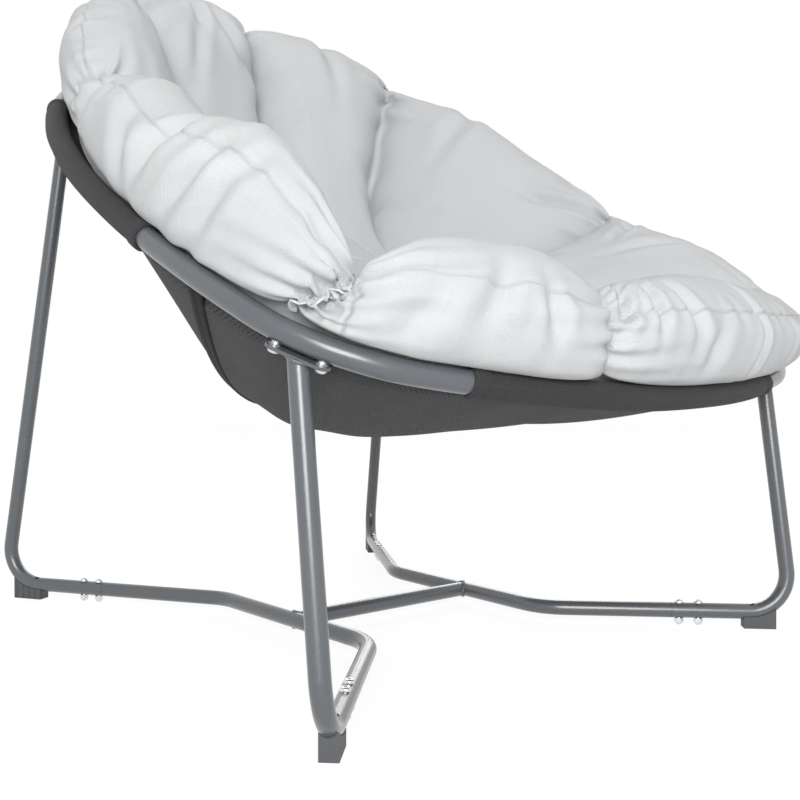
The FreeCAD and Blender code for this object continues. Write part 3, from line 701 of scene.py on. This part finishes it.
def cushionGrid():
    # places (x, v, n), their place on the profile, bearing, slant and reach
    columns, middle = cushionShape["columns"], np.array(cushionShape["middle"])
    knots = np.unwrap(bearingFrom(middle, outline), period=360)
    bearing = -90 + 360 * np.arange(columns) / columns
    place = readOutline(bearing, knots - knots[0] - 90)
    bearing = np.mod(bearing, 360)
    reach = np.linalg.norm(place - middle, axis=1)
    out = unit(place - middle)
    rows = []
    for share, extra, height in cushionProfiles(bearing):
        flat = middle + out * (share * reach + extra)[:, None]
        rows.append(np.concatenate([flat, height[:, None]], axis=1))
    rise = cushionShape["overSling"]
    rows += [slingRing(place, 0.93, rise), slingRing(place, 0.86, rise)]
    # rows of the mesh stand close together at the perimeter seam
    seam = cushionShape["seamAt"]
    near = seam + np.array([-0.20, -0.14, -0.09, -0.05, -0.02, 0.0, 0.02, 0.05, 0.09, 0.14, 0.20])
    t = np.concatenate([np.linspace(0, seam - 0.27, 92), near, np.linspace(seam + 0.27, 15.9, 52)])
    lower = [slingRing(place, share, rise) for share in np.linspace(0.93, 0.0, 26)]
    grid = np.concatenate([throughPoints(np.array(rows), t), lower])
    t = np.concatenate([t, 16 + np.arange(len(lower)) / 4])
    slant = np.interp(t, range(len(cushionProfile)), cushionShape["slants"])
    return grid, t, bearing, slant, reach


# Soft dents and folds, placed after the photo: bearing and place on the profile of the
# middle, half lengths across and along in metres, turn in degrees, depth in metres.
cushionDents = [
    (196, 9.6, 0.012, 0.055, 20, 0.0075), (204, 10.6, 0.010, 0.045, 30, 0.0060),
    (209, 10.9, 0.009, 0.050, 25, 0.0050), (189, 10.8, 0.014, 0.040, -20, 0.0040),
    (172, 10.2, 0.012, 0.040, 10, 0.0050), (240, 9.6, 0.012, 0.030, 10, 0.0060),
    (247, 10.1, 0.008, 0.026, -15, 0.0065), (233, 11.0, 0.015, 0.030, 25, 0.0040),
    (259, 8.9, 0.006, 0.038, 12, 0.0080), (264, 9.0, 0.006, 0.034, 4, 0.0070),
    (270, 9.1, 0.007, 0.036, -6, 0.0060), (286, 9.8, 0.006, 0.060, 0, 0.0050),
    (275, 10.6, 0.010, 0.028, 15, 0.0040), (298, 10.2, 0.008, 0.036, -8, 0.0045),
    (108, 7.0, 0.010, 0.026, 15, 0.0085), (102, 6.3, 0.011, 0.034, -35, 0.0080),
    (97, 5.6, 0.009, 0.060, -60, 0.0060), (112, 5.8, 0.012, 0.040, 40, 0.0050),
    (128, 9.2, 0.010, 0.040, 25, 0.0050), (140, 9.8, 0.012, 0.036, -15, 0.0050),
    (8, 6.2, 0.008, 0.060, 55, 0.0065), (16, 5.6, 0.010, 0.050, 75, 0.0050),
    (350, 6.6, 0.009, 0.040, -30, 0.0060), (338, 6.4, 0.012, 0.060, 15, 0.0045),
    (45, 6.6, 0.016, 0.070, 20, 0.0045), (76, 6.8, 0.016, 0.060, -15, 0.0045),
]


# Sizes in metres of the pull lines, the gathers, the swells and the small folds. A dent is deeper
# in its middle by the first factor, and a brow stands beside it that many half lengths away.
cushionFolds = {"pull": 0.0058, "gather": 0.0014, "swell": 0.0026, "small": 0.0007,
                "hollow": 1.5, "brow": 0.55, "browAt": 1.9}


def dents(grid, t, bearing, reach):
    # sum of long hollows depth x exp(-(a/across)^2 - (b/along)^2) in the surface's own distances
    steps = np.linalg.norm(np.diff(grid, axis=0), axis=-1).mean(axis=1)
    down = np.concatenate([[0], np.cumsum(steps)])
    folds = cushionFolds
    total = np.zeros(grid.shape[:2])
    for angle, row, across, along, turn, depth in cushionDents:
        side = np.radians(shortTurn(bearing - angle)) * reach
        side, drop = np.meshgrid(side, down - np.interp(row, t, down))
        c, s = math.cos(math.radians(turn)), math.sin(math.radians(turn))
        a, b = side * c + drop * s, drop * c - side * s
        hollow = np.exp(-(a / across) ** 2 - (b / along) ** 2)
        brow = np.exp(-((np.abs(a) - folds["browAt"] * across) / across) ** 2 - (b / along) ** 2)
        total = total + depth * (folds["brow"] * brow - folds["hollow"] * hollow)
    return total


def wrinkles(t, bearing, slant, reach):
    # how far the surface moves along its normal: pull lines that fan out of the creases and of the
    # perimeter seam and fade across the lobe, and slow soft swells
    along, turn = t[:, None], np.radians(bearing)
    shares = [lobeShare(bearing, one) for one in slant]
    lobePlace, lobeWidth = [np.array([share[i] for share in shares]) for i in (1, 2)]
    fromCrease = (1 - np.abs(lobePlace)) * np.radians(lobeWidth) / 2 * reach
    fade = np.exp(-fromCrease / 0.040) * smoothStep(fromCrease, 0.0, 0.008)
    side = np.where(lobePlace < 0, 1.0, -1.0)
    pull = np.sin(along * 6.6 + side * 1.3 + fromCrease * 30 * side + 4 * np.sin(turn * 3))
    uneven = 0.6 + 0.4 * ripple(4, along * 2.2, turn * 9, 6)
    pull = np.abs(pull) ** 0.7 * np.sign(pull) * fade * uneven
    seamGap = along - cushionShape["seamAt"]
    gather = np.clip(ripple(9, along * 0.8, turn * 70, 8), -1.5, 1.5) * np.exp(-np.abs(seamGap) / 0.55)
    swell = ripple(7, along * 0.75, turn * 6, 7)
    small = ripple(11, along * 2.6, turn * 24, 9)
    shown = smoothStep(along, 2.0, 4.5) * (1 - smoothStep(along, 12.0, 13.3))
    groove = np.exp(-(seamGap / 0.045) ** 2) * smoothStep(fromCrease, 0.0, 0.02)
    layers = {"pull": pull, "gather": gather, "swell": swell, "small": small}
    move = sum(cushionFolds[name] * layer for name, layer in layers.items())
    return move * shown - cushionShape["seamDepth"] * groove


def buildCushion():
    grid, t, bearing, slant, reach = cushionGrid()
    normal = gridNormals(grid)
    normal = normal * np.sign(np.sum(normal[40, :, 2]))  # row 40 lies on the upper side
    move = wrinkles(t, bearing, slant, reach) + dents(grid, t, bearing, reach)
    grid = grid + normal * (move * (t < 15.5)[:, None])[..., None]
    world = onPlane(grid[..., 0], grid[..., 1], grid[..., 2])
    rows, columns = world.shape[:2]
    vertices = np.vstack([world[0].mean(0)[None], world[1:-1].reshape(-1, 3), world[-1].mean(0)[None]])
    quads = gridFaces(rows - 2, columns, True, 1)
    first = np.arange(columns)
    second = (first + 1) % columns
    last = len(vertices) - 1
    lastRow = 1 + (rows - 3) * columns
    cap = np.stack([np.zeros(columns, int), first + 1, second + 1], axis=1)
    base = np.stack([np.full(columns, last), lastRow + second, lastRow + first], axis=1)
    # weave coordinates: across the lobe from its own middle line, and along the profile; a face keeps
    # to the lobe of its first corner
    steps = np.linalg.norm(np.diff(world, axis=0), axis=-1)
    down = np.concatenate([np.zeros((1, columns)), np.cumsum(steps, axis=0)])
    radial = np.linalg.norm(grid[..., :2] - np.array(cushionShape["middle"]), axis=-1)
    lines = creaseLines(slant[:, None])
    middles = lines + np.mod(np.roll(lines, -1, axis=1) - lines, 360) / 2
    lobe = np.array([lobeShare(bearing, one)[0] for one in slant])

    def clothPlace(row, column, ownLobe):
        turn = shortTurn(bearing[column] - middles[row, ownLobe])
        return np.stack([radial[row, column] * np.radians(turn), down[row, column]], axis=-1)

    r, c = np.meshgrid(np.arange(1, rows - 2), np.arange(columns), indexing="ij")
    beside = (c + 1) % columns
    own = lobe[r, c]
    uv = np.stack([clothPlace(r, c, own), clothPlace(r, beside, own), clothPlace(r + 1, beside, own),
                   clothPlace(r + 1, c, own)], axis=2).reshape(-1, 4, 2)
    capUv = np.stack([np.zeros((columns, 2)), clothPlace(1, first, lobe[1]),
                      clothPlace(1, second, lobe[1])], axis=1)
    baseUv = np.stack([clothPlace(rows - 1, first, lobe[-1]), clothPlace(rows - 2, second, lobe[-1]),
                       clothPlace(rows - 2, first, lobe[-1])], axis=1)
    faces = quads[:, ::-1].tolist() + cap.tolist() + base.tolist()
    uv = np.vstack([uv[:, ::-1].reshape(-1, 2), capUv.reshape(-1, 2), baseUv.reshape(-1, 2)])
    cushion = makeMesh("cushion_cover", vertices, faces, uv)
    cushion.data.materials.append(cushionLinen)
    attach(cushion, "cushion")
    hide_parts("cushion")
    return world, t, bearing


cushionWorld, cushionRows, cushionBearings = buildCushion()
print("cushion ready")

# Serged edges of the gathered radial seams that stand out of the cushion: number of the crease, rows
# of the profile between which they run, height and swing of the ruffle. Waves count per metre.
ruffleShape = {
    "edges": ((5, 9.4, 13.6, 0.012, 0.0032), (7, 10.6, 13.0, 0.017, 0.0034),
              (4, 10.2, 12.8, 0.005, 0.0020)),
    "places": 90, "levels": 6, "waves": (190, 330), "sunk": 0.004, "thickness": 0.0016,
}


def buildRuffles():
    # a wavy strip: its foot follows the crease, its edge stands out along the cushion's slope and
    # swings from side to side as sin(first wave x s) + sin(second wave x s) / 2
    order = np.argsort(cushionBearings)
    centre = onPlane(0.0, cushionShape["middle"][1], -0.02)
    strips = []
    for number, (crease, startRow, endRow, height, swing) in enumerate(ruffleShape["edges"]):
        share = np.linspace(0, 1, ruffleShape["places"])
        rows = startRow + (endRow - startRow) * share
        slants = np.interp(rows, range(len(cushionProfile)), cushionShape["slants"])
        angles = creaseLines(slants[:, None])[:, crease]
        foot = np.empty((len(share), 3))
        for axis in range(3):
            byRow = [np.interp(angle, cushionBearings[order],
                               cushionWorld[np.argmin(np.abs(cushionRows - row)), order, axis])
                     for angle, row in zip(angles, rows)]
            foot[:, axis] = np.convolve(np.pad(byRow, 3, mode="edge"), np.ones(7) / 7, mode="valid")
        along = unit(np.gradient(foot, axis=0))
        outward = squareTo(along, foot - centre)
        sideways = np.cross(along, outward)
        length = lengthSoFar(foot)
        slow, quick = ruffleShape["waves"]
        wave = np.sin(length * slow) + 0.5 * np.sin(length * quick + number)
        taper = smoothStep(share, 0, 0.12) * (1 - smoothStep(share, 0.88, 1))
        lines = []
        for level in np.linspace(0, 1, ruffleShape["levels"]):
            stand = level * height * (0.35 + 0.65 * taper) - ruffleShape["sunk"]
            stand = foot + outward * stand[:, None]
            lines.append(stand + sideways * (swing * level ** 1.3 * wave * taper)[:, None])
        strips.append((np.array(lines), height, length))
    ruffle = makeStrips("cushion_ruffles", strips, ruffleShape["thickness"], cushionLinen)
    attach(ruffle, "cushion")


buildRuffles()
print("gathered seams ready")


def buildPanel():
    # the sling's cloth from the hoop down to the deepest place, one ring after the other
    shape = slingShape
    distance = hoopRound * np.arange(shape["columns"]) / shape["columns"]
    place, along = alongHoop(distance)
    shares = np.concatenate([[1.0], np.linspace(0.955, 0.0, shape["rows"] - 1)])
    grid = np.array([slingRing(place, share, 0.0) for share in shares])
    # the first row lies beside the tube's centre line, inside and a little below it
    inward = np.stack([-along[:, 1], along[:, 0]], axis=-1)
    grid[0, :, :2] = place + inward * shape["edgeInward"]
    grid[0, :, 2] = -shape["edgeBelow"]
    tension = ripple(31, np.arange(len(shares))[:, None] * 0.12, distance[None, :] * 34, 9)
    slack = smoothStep(shares, 0.0, 0.5) * (1 - smoothStep(shares, 0.90, 1.0))
    grid[..., 2] += shape["tension"] * tension * slack[:, None]
    world = onPlane(grid[..., 0], grid[..., 1], grid[..., 2])
    rows, columns = world.shape[:2]
    flat = np.concatenate([grid, grid[:, :1]], axis=1)[..., :2] * shape["weaveStretch"]
    uv = gridUv(rows - 1, columns, True, flat[:-1, :, 0], flat[:-1, :, 1])
    vertices = np.vstack([world[:-1].reshape(-1, 3), world[-1].mean(0)[None]])
    quads = gridFaces(rows - 1, columns, True)
    lastRow = (rows - 2) * columns
    first = np.arange(columns)
    second = (first + 1) % columns
    cap = np.stack([lastRow + first, lastRow + second, np.full(columns, len(vertices) - 1)], axis=1)
    capUv = np.stack([flat[-2, first], flat[-2, first + 1], flat[-1, first]], axis=1).reshape(-1, 2)
    panel = makeMesh("sling_cloth", vertices, quads.tolist() + cap.tolist(), np.vstack([uv, capUv]))
    thicken(panel, shape["thickness"])
    panel.data.materials.append(slingMesh)
    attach(panel, "frame")
    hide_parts("sling_panel")
    return panel


# Lines of a seam band: distance from its middle and from the sling's surface. The middle one lies
# in the groove between the two stitch rows.
seamBand = {"lines": ((-0.0075, 0.0014), (-0.0065, 0.0024), (-0.0030, 0.0024), (0.0, 0.0017),
                      (0.0030, 0.0024), (0.0065, 0.0024), (0.0075, 0.0014)),
            "width": 0.015, "thickness": 0.0009, "shares": (0.985, 0.12), "places": 120}


def buildSeamBands():
    # doubled bands on the outside of the sling where its panels are sewn together: tapes that follow
    # the surface along a bearing from the deepest place
    middle = np.array(slingShape["deepest"])
    bearings = bearingFrom(middle, outline)
    strips = []
    for angle in slingShape["seams"]:
        hit = outline[np.argmin(np.abs(shortTurn(bearings - angle)))]
        direction = unit(hit - middle)
        beside = np.array([-direction[1], direction[0]])
        lines = []
        for across, lift in seamBand["lines"]:
            line = []
            for share in np.linspace(*seamBand["shares"], seamBand["places"]):
                ringPlace = hit + beside * across / share
                line.append(slingRing(ringPlace[None], share, 0.0)[0])
            line = np.array(line)
            line[:, 2] -= lift
            line[:, :2] += direction * lift
            lines.append(onPlane(line[:, 0], line[:, 1], line[:, 2]))
        strips.append((np.array(lines), seamBand["width"], lengthSoFar(lines[3])))
    # the bands' mesh is the sling's at lower brightness: painted shade
    bands = makeStrips("sling_seam_bands", strips, seamBand["thickness"], shadedSeamMesh)
    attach(bands, "frame")
    return bands


panel = buildPanel()
bands = buildSeamBands()

sleeveShape = {"innerRadius": 0.0113, "thickness": 0.0014, "cuff": 0.014, "cuffRise": 0.0016,
               "around": 64, "step": 0.0022, "seamTurn": -2.05, "pleats": 0.0007, "stitch": 0.0011,
               "ridge": 0.0030, "rounding": 0.0012, "sewn": 0.0014, "allowance": 0.006,
               # places (x, v) on the hoop where the front, rear and side sleeves end
               "front": (0.232, -0.06), "rear": (0.205, 0.85),
               "sideLow": (0.41, 0.215), "sideHigh": (0.340, 0.668)}


def buildSleeve(name, node, start, end, seed):
    # tube of cloth round the hoop: radius = inner radius + thickness + cuff + pleats + the ridge
    # where the panel is sewn on; both walls and both ends are closed
    shape = sleeveShape
    if end < start:
        end += hoopRound
    distance = np.linspace(start, end, int((end - start) / shape["step"]))
    place, along = alongHoop(distance)
    turn = 2 * math.pi * np.arange(shape["around"]) / shape["around"]
    fromEnd = np.minimum(distance - start, end - distance)[:, None]
    pleats = shape["pleats"] * np.abs(ripple(seed, distance[:, None] * 22, turn[None, :] * 3, 7))
    pleats = pleats * smoothStep(fromEnd, 0.010, 0.040)
    pastCuff = fromEnd - shape["cuff"]
    cuff = shape["cuffRise"] * (1 - smoothStep(pastCuff, -0.0012, 0.0006))
    stitch = -shape["stitch"] * np.exp(-((pastCuff + 0.0035) / 0.0008) ** 2)
    rounded = -shape["rounding"] * (1 - smoothStep(fromEnd, 0.0, 0.0014))
    fromSeam = turn - shape["seamTurn"]
    ridge = shape["ridge"] * np.exp(-(shortTurn(fromSeam, 2 * math.pi) / 0.22) ** 2)
    sewn = -shape["sewn"] * np.exp(-(shortTurn(fromSeam - 0.42, 2 * math.pi) / 0.07) ** 2)
    outer = shape["innerRadius"] + shape["thickness"] + cuff + stitch + rounded + pleats + ridge + sewn
    inner = np.full_like(outer, shape["innerRadius"])
    square = np.stack([along[:, 1], -along[:, 0]], axis=-1)

    def wall(radius):
        flat = place[:, None, :] + square[:, None, :] * (radius * np.cos(turn)[None, :])[..., None]
        return onPlane(flat[..., 0], flat[..., 1], radius * np.sin(turn)[None, :])

    outerWall, innerWall = wall(outer), wall(inner)
    world = np.vstack([innerWall[:1], outerWall, innerWall[-1:], innerWall[::-1][1:]])
    rowCount, columns = world.shape[:2]
    across = np.append(turn, 2 * math.pi) * shape["innerRadius"]
    runs = np.concatenate([[distance[0]], distance, [distance[-1]], distance[::-1][1:]])
    uv = gridUv(rowCount, columns, True, across, runs[:, None]).reshape(-1, 4, 2)
    sleeve = makeMesh(name, world, gridFaces(rowCount, columns, True)[:, ::-1], uv[:, ::-1])
    # the sleeve's mesh is the sling's at lower brightness: painted shade
    sleeve.data.materials.append(shadedSleeveMesh)
    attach(sleeve, "frame")
    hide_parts(node)


def buildSleeves():
    frontEdge, rearEdge, sideLow, sideHigh = [
        distanceTo(*sleeveShape[name]) for name in ("front", "rear", "sideLow", "sideHigh")]
    buildSleeve("sleeve_front_cloth", "sling_sleeve_front", -frontEdge, frontEdge, 21)
    buildSleeve("sleeve_rear_cloth", "sling_sleeve_rear", rearEdge, hoopRound - rearEdge, 22)
    buildSleeve("sleeve_right_cloth", "sling_sleeve_right", sideLow, sideHigh, 23)
    buildSleeve("sleeve_left_cloth", "sling_sleeve_left", hoopRound - sideHigh, hoopRound - sideLow,
                24)


buildSleeves()
print("sling ready")

# Ties. A loop has its lean up and along the hoop, a tail its fall and its swing along the hoop.
tieShape = {"width": 0.011, "thickness": 0.0009, "bandRadius": 0.0122, "bandGrow": 0.0006,
            "loopLength": 0.030, "loopHeight": 0.013, "tailLength": 0.032, "tailOut": 0.010,
            "knotOut": 0.0025, "knotSize": (0.0032, 0.0042), "knotWidth": 0.0075,
            "loops": ((1.0, 0.42), (0.55, -0.50)), "tails": ((0.9, 0.30), (1.0, -0.35))}


def joinMeshes(name, pieces):
    # one mesh out of several, their corners and faces one after the other
    vertices, faces, offset = [], [], 0
    for piece in pieces:
        mesh = piece.data
        vertices += [tuple(v.co) for v in mesh.vertices]
        faces += [[i + offset for i in polygon.vertices] for polygon in mesh.polygons]
        offset += len(mesh.vertices)
        bpy.data.objects.remove(piece)
    return makeMesh(name, np.array(vertices), faces)


def buildTie(side):
    # a tape round the hoop, tied in a bow: two loops and two tails that leave the knot
    node = "cushion_tie_" + side
    low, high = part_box(node)
    centres = onPlane(outline[:, 0], outline[:, 1], 0.0)
    nearest = int(np.argmin(np.linalg.norm(centres - np.array((low + high) / 2), axis=1)))
    centre = centres[nearest]
    along = unit(centres[(nearest + 5) % len(centres)] - centres[nearest - 5])
    up = hoopUp
    out = np.cross(along, up)
    out = out * np.sign(np.dot(out, centre - onPlane(0.0, 0.35, 0.0)))
    t = tieShape
    turn = np.linspace(0, 2 * math.pi, 60)[:, None]
    grow = t["bandRadius"] + t["bandGrow"] * turn / (2 * math.pi)
    radial = np.cos(turn) * out + np.sin(turn) * up
    pieces = [sweepRibbon("band", centre + radial * grow, radial, t["width"], t["thickness"])]
    knot = centre + out * (t["bandRadius"] + t["knotOut"])
    turn = np.linspace(0, 2 * math.pi, 40)[:, None]
    ball = np.cos(turn) * out * t["knotSize"][0] + np.sin(turn) * up * t["knotSize"][1]
    pieces.append(sweepRibbon("knot", knot + ball, ball, t["knotWidth"], t["thickness"] * 2))
    s = np.linspace(0, 1, 50)
    swell = np.sin(math.pi * s)
    bend = t["loopHeight"] / 2 * np.sin(2 * math.pi * s) * (0.4 + 0.6 * swell)
    for lean, sideLean in t["loops"]:
        reach = unit(out * 0.42 + up * lean + along * sideLean)
        across = unit(np.cross(reach, along))
        path = knot + reach * (t["loopLength"] * 0.72 * swell)[:, None] + across * bend[:, None]
        facing = np.cross(np.gradient(path, axis=0), np.cross(across, reach))
        width = t["width"] * (0.55 + 0.45 * swell)
        pieces.append(sweepRibbon("loop", path, facing, width, t["thickness"]))
    s = np.linspace(0, 1, 30)
    for fall, sideLean in t["tails"]:
        path = knot + out * (t["tailOut"] * np.sin(s * 2.2))[:, None]
        path = path - up * (t["tailLength"] * fall * s ** 1.4)[:, None]
        path = path + along * (sideLean * t["tailLength"] * s)[:, None]
        pieces.append(sweepRibbon("tail", path, out, t["width"] * (0.6 + 0.4 * s), t["thickness"]))
    tie = joinMeshes("tie_" + side + "_tape", pieces)
    tie.data.materials.append(tieTape)
    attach(tie, "frame")
    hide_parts(node)


for side in ("left", "right"):
    buildTie(side)
print("ties ready")

# Weld beads. Feet and bends of the legs and side tubes lie at (x, y from the hoop's line); a leg's
# turn is its bearing round the hoop's corner arc.
weldShape = {"bead": 0.0019, "waist": 0.90, "scaleHeight": 0.22, "scales": 34, "around": 10,
             "places": 136, "tubeRadius": 0.0095, "plateUnder": -0.0156, "sunk": 0.0006,
             "front": {"turn": -35, "arc": 1, "radius": "frontCorner", "foot": (0.360, -0.025)},
             "rear": {"turn": 37, "arc": 3, "radius": "rearCorner", "foot": (0.335, 0.806)},
             "frontBend": (0.139, 0.197), "rearBend": (0.147, 0.502), "crossbar": 0.345,
             "floorTube": 0.020}


def buildBead(name, path):
    # a closed ring with fish scales: radius = bead x (waist + scale height x |sin|)
    w = weldShape
    count, around = len(path), w["around"]
    along = unit(np.roll(path, -1, axis=0) - np.roll(path, 1, axis=0))
    out = squareTo(along, path - path.mean(axis=0))
    side = np.cross(along, out)
    step = 2 * math.pi * np.arange(count) / count
    radius = w["bead"] * (w["waist"] + w["scaleHeight"] * np.abs(np.sin(step * w["scales"] / 2)))
    turn = (2 * math.pi * np.arange(around) / around)[None, :, None]
    ring = np.cos(turn) * out[:, None, :] + np.sin(turn) * side[:, None, :]
    points = path[:, None, :] + ring * radius[:, None, None]
    faces = np.roll(gridFaces(count + 1, around, True), -1, axis=1) % (count * around)
    bead = makeMesh(name, points, faces)
    bead.data.materials.append(framePaint)
    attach(bead, "frame")


def buildBeads():
    w = weldShape
    turn = 2 * math.pi * np.arange(w["places"]) / w["places"]
    c, s = np.cos(turn), np.sin(turn)
    for end in ("front", "rear"):
        leg = w[end]
        angle = math.radians(leg["turn"])
        corner = hoopCentres()[leg["arc"]]
        place = corner + hoopShape[leg["radius"]] * np.array([math.cos(angle), math.sin(angle)])
        for sideways, side in ((-1, "left"), (1, "right")):
            top = onPlane(sideways * place[0], place[1], w["plateUnder"])
            x, y = leg["foot"]
            axis = unit(top - np.array([sideways * x, lineY + y, w["floorTube"]]))
            across = unit(np.cross(axis, [0, 1, 0]))
            ring = w["tubeRadius"] * (c[:, None] * across + s[:, None] * np.cross(axis, across))
            # the ring is cut square to the hoop's plane
            ring = ring - axis * (ring @ hoopUp / (axis @ hoopUp))[:, None]
            buildBead("weld_leg_" + end + "_" + side, top + ring - hoopUp * w["sunk"])
    slant = (w["rearBend"][0] - w["frontBend"][0]) / (w["rearBend"][1] - w["frontBend"][1])
    for sideways, side in ((-1, "left"), (1, "right")):
        y = w["crossbar"] + w["tubeRadius"] * c
        x = w["frontBend"][0] + slant * (y - w["frontBend"][1])
        x = x - w["tubeRadius"] * np.abs(c) / math.cos(math.atan(slant))
        z = w["floorTube"] + w["tubeRadius"] * s
        buildBead("weld_crossbar_" + side, np.stack([sideways * x, lineY + y, z], axis=-1))


buildBeads()
print("weld beads ready")
